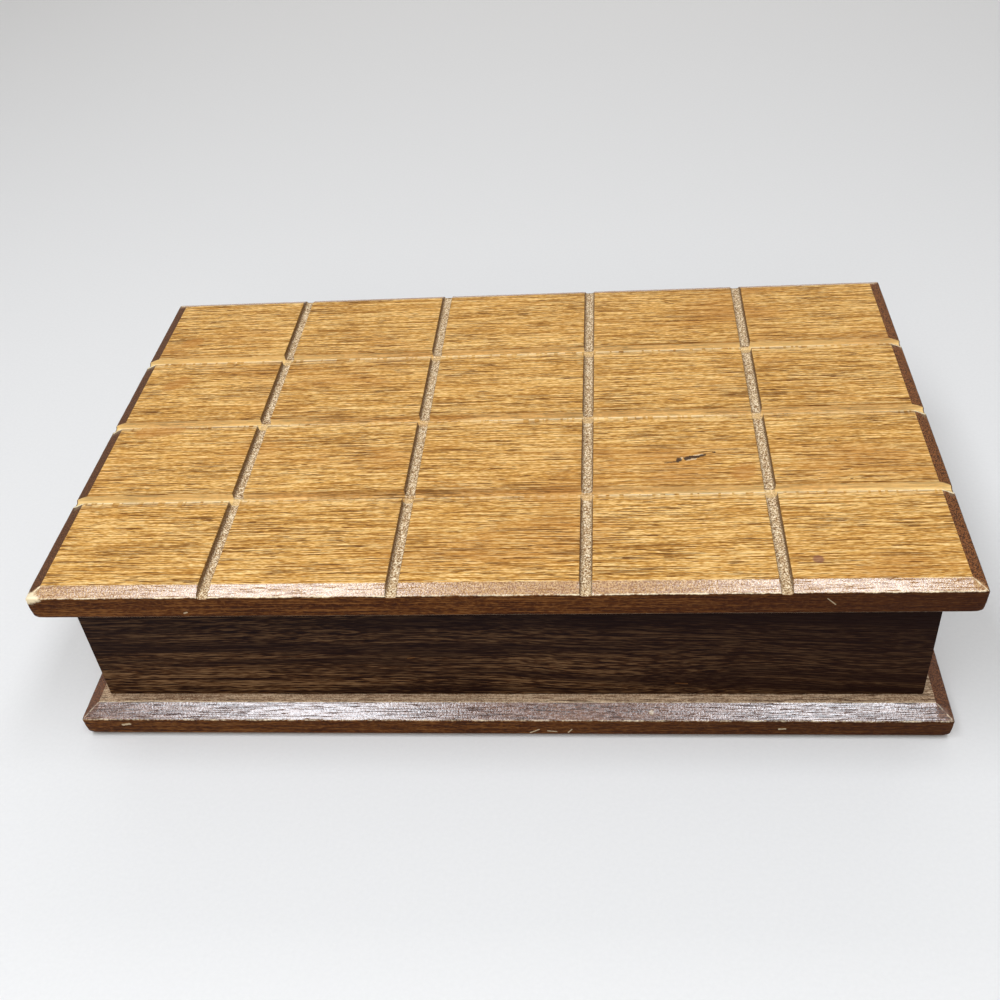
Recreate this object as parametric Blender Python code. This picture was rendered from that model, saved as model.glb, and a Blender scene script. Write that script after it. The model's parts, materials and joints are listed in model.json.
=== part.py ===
"""Wooden jewellery box: a straight-walled box on a chamfered base, with a grooved overhanging lid.

The four walls meet in mitres and stand on the base board. The lid is one thick board, cut by
grooves into tiles, and turns on two butt hinges let into the back wall and the lid. Inside are
felt linings, three lapped dividers and a ring cushion. Units are metres, +Z is up, the front
faces -Y, and the origin is at the middle of the underside.
"""
from math import asin, cos, pi, radians, sin, sqrt

import bmesh
import bpy
from mathutils import Matrix, Vector

# Fits
SEAT_GAP = 0.0003
CUT_OVERRUN = 0.002

# Box walls
BODY_LENGTH = 0.282
BODY_DEPTH = 0.165
WALL_HEIGHT = 0.0472
WALL_THICKNESS = 0.0095

# Lid board and its grooves
LID_OVERHANG = 0.009
LID_THICKNESS = 0.0109
LID_CHAMFER_WIDTH = 0.0045
LID_CHAMFER_DROP = 0.0019
COLUMN_COUNT = 5
ROW_COUNT = 4
END_COLUMN_WIDTH = 0.05895
END_ROW_DEPTH = 0.0477
GROOVE_WIDTH = 0.0047
COLUMN_GROOVE_DEPTH = 0.0026
ROW_GROOVE_DEPTH = 0.0029

# Base board
BASE_OVERHANG = 0.009
BASE_THICKNESS = 0.011
BASE_CHAMFER_WIDTH = 0.005
BASE_CHAMFER_DROP = 0.0034

# Worn edges of both boards
EDGE_ROUNDING = 0.0024
WORN_CORNER_RADIUS = 0.0032
CRISP_CORNER_RADIUS = 0.0008
CORNER_STEPS = 3
ROUNDING_STEPS = 3

# Felt and lined card
BASE_FELT_THICKNESS = 0.001
BASE_FELT_INSET = 0.006
FLOOR_PAD_THICKNESS = 0.002
LINING_THICKNESS = 0.002
LINING_DROP = 0.002
LID_LINING_THICKNESS = 0.0015
LID_LINING_INSET = 0.003
LINED_EDGE_ROUNDING = 0.0005

# Dividers
DIVIDER_THICKNESS = 0.003
DIVIDER_HEIGHT = 0.032
BACK_COMPARTMENT_DEPTH = 0.0552
SIDE_COMPARTMENT_WIDTH = 0.0847

# Ring cushion
CUSHION_HEIGHT = 0.0145
CUSHION_SIDE_DRAW = 0.0006
CUSHION_CHANNEL_DEPTH = 0.0075
CUSHION_ROLL_COUNT = 4
CUSHION_ROLL_STEPS = 8
CUSHION_CROWN_SHARE = 0.06
CUSHION_END_SHARE = 0.34
CUSHION_STATION_SHARES = (-1, -0.97, -0.9, -0.75, -0.4, 0, 0.4, 0.75, 0.9, 0.97, 1)

# Butt hinges
HINGE_LENGTH = 0.038
HINGE_END_INSET = 0.051
HINGE_AXIS_STANDOFF = 0.0005
LEAF_REACH = 0.0105
LEAF_THICKNESS = 0.001
KNUCKLE_RADIUS = 0.002
KNUCKLE_BORE_RADIUS = 0.001
KNUCKLE_COUNT = 5
PIN_RADIUS = 0.00075
PIN_TIP = 0.0003

# Hinge screws
HINGE_SCREW_SPACING = 0.0135
HINGE_SCREW_COUNT = 3
HINGE_SCREW_INSET = 0.004
HINGE_SCREW_HEAD_RADIUS = 0.0019
HINGE_SCREW_SHANK_RADIUS = 0.0009
BOX_SCREW_LENGTH = 0.0095
LID_SCREW_LENGTH = 0.0062
HINGE_SCREW_TIP = 0.0015

# Screws that hold the walls to the base
BASE_SCREW_HEAD_RADIUS = 0.0032
BASE_SCREW_HEAD_HEIGHT = 0.0022
BASE_SCREW_SHANK_RADIUS = 0.0014
BASE_SCREW_LENGTH = 0.026
BASE_SCREW_TIP = 0.003
BASE_SCREW_END_INSET = 0.036

# Facets of round pieces
TURNED_SIDES = 12
KNUCKLE_STEPS = 18

# Levels, from the table up
BASE_BOTTOM = BASE_FELT_THICKNESS + SEAT_GAP
BASE_TOP = BASE_BOTTOM + BASE_THICKNESS
WALL_BOTTOM = BASE_TOP + SEAT_GAP
WALL_TOP = WALL_BOTTOM + WALL_HEIGHT
LID_BOTTOM = WALL_TOP + SEAT_GAP
LID_TOP = LID_BOTTOM + LID_THICKNESS
PAD_TOP = WALL_BOTTOM + FLOOR_PAD_THICKNESS
LINED_BOTTOM = PAD_TOP + SEAT_GAP
LINING_TOP = WALL_TOP - LINING_DROP

# Half sizes in plan
BODY_HALF_X = BODY_LENGTH / 2
BODY_HALF_Y = BODY_DEPTH / 2
CLEAR_HALF_X = BODY_HALF_X - WALL_THICKNESS
CLEAR_HALF_Y = BODY_HALF_Y - WALL_THICKNESS
LINED_HALF_X = CLEAR_HALF_X - SEAT_GAP - LINING_THICKNESS
LINED_HALF_Y = CLEAR_HALF_Y - SEAT_GAP - LINING_THICKNESS

LID_HALF_X = BODY_HALF_X + LID_OVERHANG
LID_HALF_Y = BODY_HALF_Y + LID_OVERHANG

# Groove and divider places
COLUMN_PITCH = 2 * (LID_HALF_X - END_COLUMN_WIDTH) / (COLUMN_COUNT - 2)
ROW_PITCH = 2 * (LID_HALF_Y - END_ROW_DEPTH) / (ROW_COUNT - 2)
LONG_DIVIDER_Y = LINED_HALF_Y - BACK_COMPARTMENT_DEPTH - DIVIDER_THICKNESS / 2
CROSS_DIVIDER_X = LINED_HALF_X - SIDE_COMPARTMENT_WIDTH - DIVIDER_THICKNESS / 2

# The pin line of both hinges, behind the back wall and in the joint between wall and lid
HINGE_Y = BODY_HALF_Y + KNUCKLE_RADIUS + HINGE_AXIS_STANDOFF
HINGE_Z = (WALL_TOP + LID_BOTTOM) / 2
HINGE_X = BODY_HALF_X - HINGE_END_INSET
SCREW_ROW_Y = BODY_HALF_Y - HINGE_SCREW_INSET


def make_material(name, colour, roughness, metallic=0.0):
    """A plain finish: colour is linear red, green and blue."""
    material = bpy.data.materials.new(name)
    material.use_nodes = True
    shader = material.node_tree.nodes["Principled BSDF"]
    shader.inputs["Base Color"].default_value = (*colour, 1.0)
    shader.inputs["Roughness"].default_value = roughness
    shader.inputs["Metallic"].default_value = metallic
    return material


def add_object(name, bm, material, parent=None, smooth=False):
    """Turn a bmesh in world coordinates into an object, carried by parent if there is one."""
    if parent is not None:
        bmesh.ops.translate(bm, verts=bm.verts, vec=-parent.location)
    bmesh.ops.recalc_face_normals(bm, faces=bm.faces)
    mesh = bpy.data.meshes.new(name)
    bm.to_mesh(mesh)
    bm.free()
    if smooth:
        mesh.shade_smooth()
        mesh.set_sharp_from_angle(angle=radians(40))
    mesh.materials.append(material)
    piece = bpy.data.objects.new(name, mesh)
    piece.parent = parent
    bpy.context.collection.objects.link(piece)
    return piece


def add_cutter(name, bm):
    """A guide that other pieces are cut by. It isn't a piece itself."""
    bmesh.ops.recalc_face_normals(bm, faces=bm.faces)
    mesh = bpy.data.meshes.new(name)
    bm.to_mesh(mesh)
    bm.free()
    cutter = bpy.data.objects.new(name, mesh)
    cutter.hide_render = True
    cutter.display_type = 'WIRE'
    bpy.context.collection.objects.link(cutter)
    return cutter


def cut(piece, *cutters):
    """Take each cutter's space out of the piece."""
    for cutter in cutters:
        boolean = piece.modifiers.new(cutter.name, 'BOOLEAN')
        boolean.operation = 'DIFFERENCE'
        boolean.solver = 'EXACT'
        boolean.object = cutter


def soften(piece, radius, segments=2):
    """Round the piece's sharp edges."""
    bevel = piece.modifiers.new("soft_edges", 'BEVEL')
    bevel.width = radius
    bevel.segments = segments
    bevel.limit_method = 'ANGLE'
    bevel.angle_limit = radians(40)


def block(low, high, bm=None):
    """An upright box between two opposite corners."""
    bm = bm or bmesh.new()
    size = Vector(high) - Vector(low)
    centre = (Vector(high) + Vector(low)) / 2
    matrix = Matrix.Translation(centre) @ Matrix.Diagonal((*size, 1.0))
    bmesh.ops.create_cube(bm, size=1.0, matrix=matrix)
    return bm


def prism(outline, plane, start, end):
    """Extrude a closed outline, drawn in plane XY, XZ or YZ, from start to end across it."""
    across = {"XY": 2, "XZ": 1, "YZ": 0}[plane]
    bm = bmesh.new()
    corners = []
    for point in outline:
        place = list(point)
        place.insert(across, start)
        corners.append(bm.verts.new(place))
    face = bm.faces.new(corners)
    extruded = bmesh.ops.extrude_face_region(bm, geom=[face])
    moved = [item for item in extruded["geom"] if isinstance(item, bmesh.types.BMVert)]
    travel = Vector((0, 0, 0))
    travel[across] = end - start
    bmesh.ops.translate(bm, verts=moved, vec=travel)
    return bm


def loft(rings):
    """Skin a run of rings that have the same number of points, and close both ends."""
    bm = bmesh.new()
    layers = [[bm.verts.new(point) for point in ring] for ring in rings]
    count = len(layers[0])
    for lower, upper in zip(layers, layers[1:]):
        for index in range(count):
            after = (index + 1) % count
            bm.faces.new((lower[index], lower[after], upper[after], upper[index]))
    bm.faces.new(layers[0][::-1])
    bm.faces.new(layers[-1])
    return bm


def turned(profile):
    """Revolve a profile of (radius, height) about Z into one closed solid."""
    bm = bmesh.new()
    points = [bm.verts.new((radius, 0, height)) for radius, height in profile]
    edges = [bm.edges.new(pair) for pair in zip(points, points[1:])]
    bmesh.ops.spin(bm, geom=points + edges, axis=(0, 0, 1), cent=(0, 0, 0),
                   angle=2 * pi, steps=TURNED_SIDES, use_merge=True)
    bmesh.ops.remove_doubles(bm, verts=bm.verts, dist=SEAT_GAP / 10)
    return bm


def turned_row(profile, places, turn):
    """The same turned solid at each place, as one guide to cut with."""
    template = bpy.data.meshes.new("turned")
    bm = turned(profile)
    bm.to_mesh(template)
    bm.clear()
    for place in places:
        made = len(bm.verts)
        bm.from_mesh(template)
        bm.verts.ensure_lookup_table()
        bmesh.ops.transform(bm, matrix=Matrix.Translation(place) @ turn, verts=bm.verts[made:])
    bpy.data.meshes.remove(template)
    return bm


def add_screws(name, profile, places, turn, material, carrier=None):
    """Alike screws, each its own piece with the same mesh, numbered in the order of the places."""
    first = add_object(f"{name}_1", turned(profile), material, smooth=True)
    screws = [first]
    for index in range(1, len(places)):
        screw = bpy.data.objects.new(f"{name}_{index + 1}", first.data)
        bpy.context.collection.objects.link(screw)
        screws.append(screw)
    for screw, place in zip(screws, places):
        screw.location = place
        screw.rotation_euler = turn.to_euler()
        if carrier is not None:
            screw.parent = carrier
            screw.location -= carrier.location


def rounded_rectangle(half_x, half_y, radius, height):
    """A level ring of points with an arc at each corner, counter-clockwise from the right."""
    ring = []
    for quarter, (side_x, side_y) in enumerate(((1, 1), (-1, 1), (-1, -1), (1, -1))):
        centre_x = side_x * (half_x - radius)
        centre_y = side_y * (half_y - radius)
        for step in range(CORNER_STEPS + 1):
            angle = (quarter + step / CORNER_STEPS) * pi / 2
            ring.append((centre_x + radius * cos(angle), centre_y + radius * sin(angle), height))
    return ring


def chamfered_board(half_x, half_y, bottom, top, chamfer_width, chamfer_drop):
    """A board with a chamfer round its top face and worn, rounded lower edges and corners."""
    rings = []
    for step in range(ROUNDING_STEPS + 1):
        angle = step / ROUNDING_STEPS * pi / 2
        inset = EDGE_ROUNDING * (1 - sin(angle))
        height = bottom + EDGE_ROUNDING * (1 - cos(angle))
        rings.append(rounded_rectangle(half_x - inset, half_y - inset, WORN_CORNER_RADIUS, height))
    rings.append(rounded_rectangle(half_x, half_y, CRISP_CORNER_RADIUS, top - chamfer_drop))
    rings.append(rounded_rectangle(half_x - chamfer_width, half_y - chamfer_width,
                                   CRISP_CORNER_RADIUS, top))
    return loft(rings)


def screw_profile(head_radius, head_height, shank_radius, length, tip):
    """A countersunk screw from its flat head at height 0 down to its point."""
    return [
        (0, 0),
        (head_radius, 0),
        (shank_radius, -head_height),
        (shank_radius, tip - length),
        (0, -length),
    ]


def screw_hole_profile(head_radius, head_height, shank_radius, length):
    """The countersunk hole that clears such a screw, open above its head."""
    return [
        (0, CUT_OVERRUN),
        (head_radius + SEAT_GAP, CUT_OVERRUN),
        (head_radius + SEAT_GAP, 0),
        (shank_radius + SEAT_GAP, -head_height),
        (shank_radius + SEAT_GAP, -length - SEAT_GAP),
        (0, -length - SEAT_GAP),
    ]


def make_walls(material):
    """Four mitred walls, the same prism at two lengths, turned to each side."""
    mitre_shift = SEAT_GAP / sqrt(2)
    places = {
        "wall_front": (BODY_HALF_X, (0, -BODY_HALF_Y), 0),
        "wall_right": (BODY_HALF_Y, (BODY_HALF_X, 0), 1),
        "wall_back": (BODY_HALF_X, (0, BODY_HALF_Y), 2),
        "wall_left": (BODY_HALF_Y, (-BODY_HALF_X, 0), 3),
    }
    walls = {}
    for name, (half, place, quarter_turns) in places.items():
        outer = half - mitre_shift
        inner = outer - WALL_THICKNESS
        outline = [(-outer, 0), (outer, 0), (inner, WALL_THICKNESS), (-inner, WALL_THICKNESS)]
        wall = add_object(name, prism(outline, "XY", 0, WALL_HEIGHT), material)
        wall.location = (*place, WALL_BOTTOM)
        wall.rotation_euler = (0, 0, quarter_turns * pi / 2)
        walls[name] = wall
    return walls


def make_base(wood, felt, steel, walls):
    """The base board, the felt under it, and the screws that hold the walls down on it."""
    half_x = BODY_HALF_X + BASE_OVERHANG
    half_y = BODY_HALF_Y + BASE_OVERHANG
    board = add_object("base_board", chamfered_board(half_x, half_y, BASE_BOTTOM, BASE_TOP,
                                                     BASE_CHAMFER_WIDTH, BASE_CHAMFER_DROP), wood)
    ring = rounded_rectangle(half_x - BASE_FELT_INSET, half_y - BASE_FELT_INSET,
                             WORN_CORNER_RADIUS, 0)
    outline = [(x, y) for x, y, _ in ring]
    add_object("base_felt", prism(outline, "XY", 0, BASE_FELT_THICKNESS), felt)

    row_y = BODY_HALF_Y - WALL_THICKNESS / 2
    side_x = BODY_HALF_X - WALL_THICKNESS / 2
    end_x = BODY_HALF_X - BASE_SCREW_END_INSET
    places = [Vector((x, y, BASE_BOTTOM)) for y in (-row_y, row_y) for x in (-end_x, 0, end_x)]
    places += [Vector((x, 0, BASE_BOTTOM)) for x in (-side_x, side_x)]
    upward = Matrix.Rotation(pi, 4, 'X')
    profile = screw_profile(BASE_SCREW_HEAD_RADIUS, BASE_SCREW_HEAD_HEIGHT,
                            BASE_SCREW_SHANK_RADIUS, BASE_SCREW_LENGTH, BASE_SCREW_TIP)
    add_screws("base_screw", profile, places, upward, steel)
    hole = screw_hole_profile(BASE_SCREW_HEAD_RADIUS, BASE_SCREW_HEAD_HEIGHT,
                              BASE_SCREW_SHANK_RADIUS, BASE_SCREW_LENGTH)
    holes = add_cutter("base_screw_holes", turned_row(hole, places, upward))
    cut(board, holes)
    for wall in walls.values():
        cut(wall, holes)


def make_lid(wood, felt, carrier):
    """The lid board, cut into tiles by crossing grooves, and the felt panel under it."""
    board = add_object("lid_board", chamfered_board(LID_HALF_X, LID_HALF_Y, LID_BOTTOM, LID_TOP,
                                                    LID_CHAMFER_WIDTH, LID_CHAMFER_DROP),
                       wood, carrier)
    reach_x = LID_HALF_X + CUT_OVERRUN
    reach_y = LID_HALF_Y + CUT_OVERRUN
    for index in range(COLUMN_COUNT - 1):
        middle = (index - (COLUMN_COUNT - 2) / 2) * COLUMN_PITCH
        low = (middle - GROOVE_WIDTH / 2, -reach_y, LID_TOP - COLUMN_GROOVE_DEPTH)
        high = (middle + GROOVE_WIDTH / 2, reach_y, LID_TOP + CUT_OVERRUN)
        cut(board, add_cutter(f"column_groove_{index + 1}", block(low, high)))
    for index in range(ROW_COUNT - 1):
        middle = (index - (ROW_COUNT - 2) / 2) * ROW_PITCH
        low = (-reach_x, middle - GROOVE_WIDTH / 2, LID_TOP - ROW_GROOVE_DEPTH)
        high = (reach_x, middle + GROOVE_WIDTH / 2, LID_TOP + CUT_OVERRUN)
        cut(board, add_cutter(f"row_groove_{index + 1}", block(low, high)))

    panel_half_x = LINED_HALF_X - LID_LINING_INSET
    panel_half_y = LINED_HALF_Y - LID_LINING_INSET
    panel_top = LID_BOTTOM - SEAT_GAP
    low = (-panel_half_x, -panel_half_y, panel_top - LID_LINING_THICKNESS)
    high = (panel_half_x, panel_half_y, panel_top)
    lining = add_object("lid_lining", block(low, high), felt, carrier)
    soften(lining, LINED_EDGE_ROUNDING)
    return board


def leaf_outline(side, grow=0.0):
    """A leaf and its knuckle in the YZ plane: side is 1 for the lid's leaf and -1 for the box's.

    The leaf's inner face lies half a seat gap from the pin line, so that the closed leaves face
    each other across the joint. Grow widens the outline all round, for the recess it sits in.
    """
    radius = KNUCKLE_RADIUS + grow
    inner = SEAT_GAP / 2 - grow
    outer = SEAT_GAP / 2 + LEAF_THICKNESS + grow
    start = pi - asin(inner / radius)
    end = 3 * pi - asin(outer / radius)
    outline = [(-LEAF_REACH - grow, outer), (-LEAF_REACH - grow, inner)]
    for step in range(KNUCKLE_STEPS + 1):
        angle = start + (end - start) * step / KNUCKLE_STEPS
        outline.append((radius * cos(angle), radius * sin(angle)))
    return [(HINGE_Y + y, HINGE_Z + side * z) for y, z in outline]


def cut_knuckle_gaps(leaf, name, hinge_x, taken):
    """Clear the stretches of the knuckle line that the other leaf's knuckles take."""
    knuckle_length = (HINGE_LENGTH - (KNUCKLE_COUNT - 1) * SEAT_GAP) / KNUCKLE_COUNT
    reach = KNUCKLE_RADIUS + CUT_OVERRUN
    for index in range(KNUCKLE_COUNT):
        if index % 2 == taken:
            continue
        start = hinge_x - HINGE_LENGTH / 2 + index * (knuckle_length + SEAT_GAP)
        left = start - (SEAT_GAP if index > 0 else CUT_OVERRUN)
        right = start + knuckle_length + (SEAT_GAP if index < KNUCKLE_COUNT - 1 else CUT_OVERRUN)
        low = (left, HINGE_Y - KNUCKLE_RADIUS - SEAT_GAP, HINGE_Z - reach)
        high = (right, HINGE_Y + reach, HINGE_Z + reach)
        cut(leaf, add_cutter(f"{name}_knuckle_gap_{index + 1}", block(low, high)))


def make_leaf(name, side, hinge_x, host, brass, steel, carrier):
    """One leaf of a hinge, let into its host, with its knuckles and its screws."""
    left = hinge_x - HINGE_LENGTH / 2
    right = hinge_x + HINGE_LENGTH / 2
    leaf = add_object(f"{name}_leaf", prism(leaf_outline(side), "YZ", left, right), brass, carrier,
                      smooth=True)
    recess = prism(leaf_outline(side, SEAT_GAP), "YZ", left - SEAT_GAP, right + SEAT_GAP)
    cut(host, add_cutter(f"{name}_recess", recess))
    cut_knuckle_gaps(leaf, name, hinge_x, 0 if side < 0 else 1)

    length = LID_SCREW_LENGTH if side > 0 else BOX_SCREW_LENGTH
    face = HINGE_Z + side * SEAT_GAP / 2
    offsets = [(index - (HINGE_SCREW_COUNT - 1) / 2) * HINGE_SCREW_SPACING
               for index in range(HINGE_SCREW_COUNT)]
    places = [Vector((hinge_x + offset, SCREW_ROW_Y, face)) for offset in offsets]
    turn = Matrix.Rotation(pi, 4, 'X') if side > 0 else Matrix.Identity(4)
    profile = screw_profile(HINGE_SCREW_HEAD_RADIUS, LEAF_THICKNESS, HINGE_SCREW_SHANK_RADIUS,
                            length, HINGE_SCREW_TIP)
    add_screws(f"{name}_screw", profile, places, turn, steel, carrier)
    hole = screw_hole_profile(HINGE_SCREW_HEAD_RADIUS, LEAF_THICKNESS, HINGE_SCREW_SHANK_RADIUS,
                              length)
    holes = add_cutter(f"{name}_screw_holes", turned_row(hole, places, turn))
    cut(leaf, holes)
    cut(host, holes)
    return leaf


def make_hinge(side_name, hinge_x, wall, lid_board, brass, steel, carrier):
    """A butt hinge: a leaf on the box with the odd knuckles, a leaf on the lid, and their pin."""
    along_x = Matrix.Rotation(pi / 2, 4, 'Y')
    middle = Vector((hinge_x, HINGE_Y, HINGE_Z))
    half = HINGE_LENGTH / 2
    bore = [(0, -half - CUT_OVERRUN), (KNUCKLE_BORE_RADIUS, -half - CUT_OVERRUN),
            (KNUCKLE_BORE_RADIUS, half + CUT_OVERRUN), (0, half + CUT_OVERRUN)]
    bore_cutter = add_cutter(f"hinge_{side_name}_bore", turned_row(bore, [middle], along_x))
    name = f"hinge_{side_name}_box"
    cut(make_leaf(name, -1, hinge_x, wall, brass, steel, None), bore_cutter)
    name = f"hinge_{side_name}_lid"
    cut(make_leaf(name, 1, hinge_x, lid_board, brass, steel, carrier), bore_cutter)
    pin = [(0, -half), (PIN_RADIUS - PIN_TIP, -half), (PIN_RADIUS, PIN_TIP - half),
           (PIN_RADIUS, half - PIN_TIP), (PIN_RADIUS - PIN_TIP, half), (0, half)]
    pin_piece = add_object(f"hinge_{side_name}_pin", turned(pin), steel, smooth=True)
    pin_piece.location = middle
    pin_piece.rotation_euler = along_x.to_euler()


def make_linings(felt):
    """The felt-covered pad on the floor and the felt-covered cards against the four walls."""
    pad_x = CLEAR_HALF_X - SEAT_GAP
    pad_y = CLEAR_HALF_Y - SEAT_GAP
    end_y = LINED_HALF_Y - SEAT_GAP
    boxes = {
        "floor_pad": ((-pad_x, -pad_y, WALL_BOTTOM), (pad_x, pad_y, PAD_TOP)),
        "lining_front": ((-pad_x, -pad_y, LINED_BOTTOM), (pad_x, -LINED_HALF_Y, LINING_TOP)),
        "lining_back": ((-pad_x, LINED_HALF_Y, LINED_BOTTOM), (pad_x, pad_y, LINING_TOP)),
        "lining_left": ((-pad_x, -end_y, LINED_BOTTOM), (-LINED_HALF_X, end_y, LINING_TOP)),
        "lining_right": ((LINED_HALF_X, -end_y, LINED_BOTTOM), (pad_x, end_y, LINING_TOP)),
    }
    for name, (low, high) in boxes.items():
        soften(add_object(name, block(low, high), felt), LINED_EDGE_ROUNDING)


def slotted_outline(half_length, bottom, top, slots, slot_from_top):
    """A divider's side view: a rectangle with half-height slots where others cross it."""
    lap = (bottom + top) / 2
    half_slot = DIVIDER_THICKNESS / 2 + SEAT_GAP
    outline = [(-half_length, bottom)]
    if not slot_from_top:
        for slot in slots:
            outline += [(slot - half_slot, bottom), (slot - half_slot, lap + SEAT_GAP / 2),
                        (slot + half_slot, lap + SEAT_GAP / 2), (slot + half_slot, bottom)]
    outline += [(half_length, bottom), (half_length, top)]
    if slot_from_top:
        for slot in reversed(slots):
            outline += [(slot + half_slot, top), (slot + half_slot, lap - SEAT_GAP / 2),
                        (slot - half_slot, lap - SEAT_GAP / 2), (slot - half_slot, top)]
    outline.append((-half_length, top))
    return outline


def make_dividers(felt):
    """One long divider, slotted from the top, and two cross dividers, slotted from below."""
    top = LINED_BOTTOM + DIVIDER_HEIGHT
    half = DIVIDER_THICKNESS / 2
    outline = slotted_outline(LINED_HALF_X - SEAT_GAP, LINED_BOTTOM, top,
                              [-CROSS_DIVIDER_X, CROSS_DIVIDER_X], True)
    add_object("long_divider", prism(outline, "XZ", LONG_DIVIDER_Y - half, LONG_DIVIDER_Y + half),
               felt)
    outline = slotted_outline(LINED_HALF_Y - SEAT_GAP, LINED_BOTTOM, top, [LONG_DIVIDER_Y], False)
    for name, x in (("cross_divider_left", -CROSS_DIVIDER_X),
                    ("cross_divider_right", CROSS_DIVIDER_X)):
        add_object(name, prism(outline, "YZ", x - half, x + half), felt)


def cushion_ring(share, half_x, half_y):
    """The cushion's section at a share of its half length: a row of rolls over a flat bottom."""
    side_y = half_y - CUSHION_SIDE_DRAW * (1 - share ** 2)
    crown = CUSHION_HEIGHT * (1 - CUSHION_CROWN_SHARE * share ** 2 - CUSHION_END_SHARE * share ** 8)
    valley = crown - CUSHION_CHANNEL_DEPTH * crown / CUSHION_HEIGHT
    section = [(-side_y, 0), (side_y, 0)]
    pitch = 2 * side_y / CUSHION_ROLL_COUNT
    section.append((side_y, valley))
    for roll in range(CUSHION_ROLL_COUNT):
        for step in range(1, CUSHION_ROLL_STEPS + 1):
            angle = pi * step / CUSHION_ROLL_STEPS
            y = side_y - pitch * (roll + (1 - cos(angle)) / 2)
            section.append((y, valley + (crown - valley) * sin(angle)))
    ring = []
    for y, z in section:
        draw = CUSHION_SIDE_DRAW * (1 - (y / side_y) ** 2)
        ring.append((share * (half_x - draw), y, z))
    return ring


def make_ring_cushion(felt):
    """A soft cushion of rolls that grip rings between them, filling the back right compartment."""
    low_x = CROSS_DIVIDER_X + DIVIDER_THICKNESS / 2 + SEAT_GAP
    high_x = LINED_HALF_X - SEAT_GAP
    low_y = LONG_DIVIDER_Y + DIVIDER_THICKNESS / 2 + SEAT_GAP
    high_y = LINED_HALF_Y - SEAT_GAP
    half_x = (high_x - low_x) / 2
    half_y = (high_y - low_y) / 2
    bm = loft([cushion_ring(share, half_x, half_y) for share in CUSHION_STATION_SHARES])
    cushion = add_object("ring_cushion", bm, felt, smooth=True)
    cushion.location = ((low_x + high_x) / 2, (low_y + high_y) / 2, LINED_BOTTOM)


def main():
    for piece in list(bpy.data.objects):
        bpy.data.objects.remove(piece, do_unlink=True)

    honey_wood = make_material("honey_wood", (0.54, 0.24, 0.06), 0.4)
    dark_wood = make_material("dark_wood", (0.045, 0.02, 0.012), 0.45)
    base_wood = make_material("base_wood", (0.13, 0.055, 0.025), 0.35)
    brass = make_material("brass", (0.62, 0.42, 0.16), 0.35, 1.0)
    steel = make_material("steel", (0.5, 0.5, 0.5), 0.4, 1.0)
    felt = make_material("felt", (0.02, 0.075, 0.045), 0.95)

    walls = make_walls(dark_wood)
    make_base(base_wood, felt, steel, walls)
    lid_axis = bpy.data.objects.new("lid_axis", None)
    lid_axis.location = (0, HINGE_Y, HINGE_Z)
    bpy.context.collection.objects.link(lid_axis)
    lid_board = make_lid(honey_wood, felt, lid_axis)
    for side_name, hinge_x in (("left", -HINGE_X), ("right", HINGE_X)):
        make_hinge(side_name, hinge_x, walls["wall_back"], lid_board, brass, steel, lid_axis)
    make_linings(felt)
    make_dividers(felt)
    make_ring_cushion(felt)


if __name__ == "__main__":
    main()
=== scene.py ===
"""Looks of the wooden jewellery box: worn lacquered boards, felt linings and brass hinges.

Everything is in metres, +Z up, with the front of the box towards -Y. The boards, felt pieces and
hinge screws are modelled here around the loaded frame. The walls, the hinges' leaves and pins
and the base's screws keep their solids under a new finish. Each board has one grain along it.
"""
import json
from itertools import product
from math import ceil, cos, pi, radians, sin

import bmesh
import bpy
import numpy as np
from bpy.props import FloatProperty, FloatVectorProperty, IntProperty, PointerProperty
from mathutils import Matrix, Vector, noise


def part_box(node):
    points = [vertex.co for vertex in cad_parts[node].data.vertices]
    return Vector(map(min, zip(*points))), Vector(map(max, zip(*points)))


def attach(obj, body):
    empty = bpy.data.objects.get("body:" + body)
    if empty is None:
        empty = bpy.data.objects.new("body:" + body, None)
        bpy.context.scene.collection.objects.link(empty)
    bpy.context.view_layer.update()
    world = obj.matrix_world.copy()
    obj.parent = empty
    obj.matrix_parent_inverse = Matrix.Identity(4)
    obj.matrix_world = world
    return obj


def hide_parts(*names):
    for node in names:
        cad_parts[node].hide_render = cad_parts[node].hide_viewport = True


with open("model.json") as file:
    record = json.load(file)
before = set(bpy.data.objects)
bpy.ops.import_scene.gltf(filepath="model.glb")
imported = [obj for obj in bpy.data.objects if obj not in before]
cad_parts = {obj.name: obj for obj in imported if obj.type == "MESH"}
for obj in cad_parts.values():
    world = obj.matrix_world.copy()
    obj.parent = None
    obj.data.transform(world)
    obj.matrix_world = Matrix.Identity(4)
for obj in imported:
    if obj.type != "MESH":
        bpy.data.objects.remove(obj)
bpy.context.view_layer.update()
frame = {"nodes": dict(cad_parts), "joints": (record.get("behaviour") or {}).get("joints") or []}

bl_info = {
    "name": "Wooden Jewellery Box Looks",
    "version": (1, 0, 0),
    "blender": (4, 5, 0),
    "location": "3D View > Sidebar > Jewellery Box",
    "description": "Dresses a jewellery box with worn lacquered wood, felt, brass and studio light",
    "category": "Object",
}

HINGE_LINE = Vector(frame["joints"][0]["pos_m"])
MILLIMETRE = 0.001

# Powers that round a worn board's upright corners, at its top and at its underside: a low
# power rounds them more
WORN_CORNERS = (16.0, 3.2)
# How far a worn edge's pale line and the painted highlight and shade lines reach, and the deepest
# that wear and chips go there
WORN_LINE = 0.0003
MITRE_LINE = 0.0004
CHIPPED_LINE = 0.0005
LID_WEAR_DEPTH = 0.00012
BASE_WEAR_DEPTH = 0.0002
LID_CHIP_DEPTH = 0.0003
# How many bumps a metre the wear has, and the chips
WEAR_BUMPS = 260
CHIP_BUMPS = 420
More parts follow.
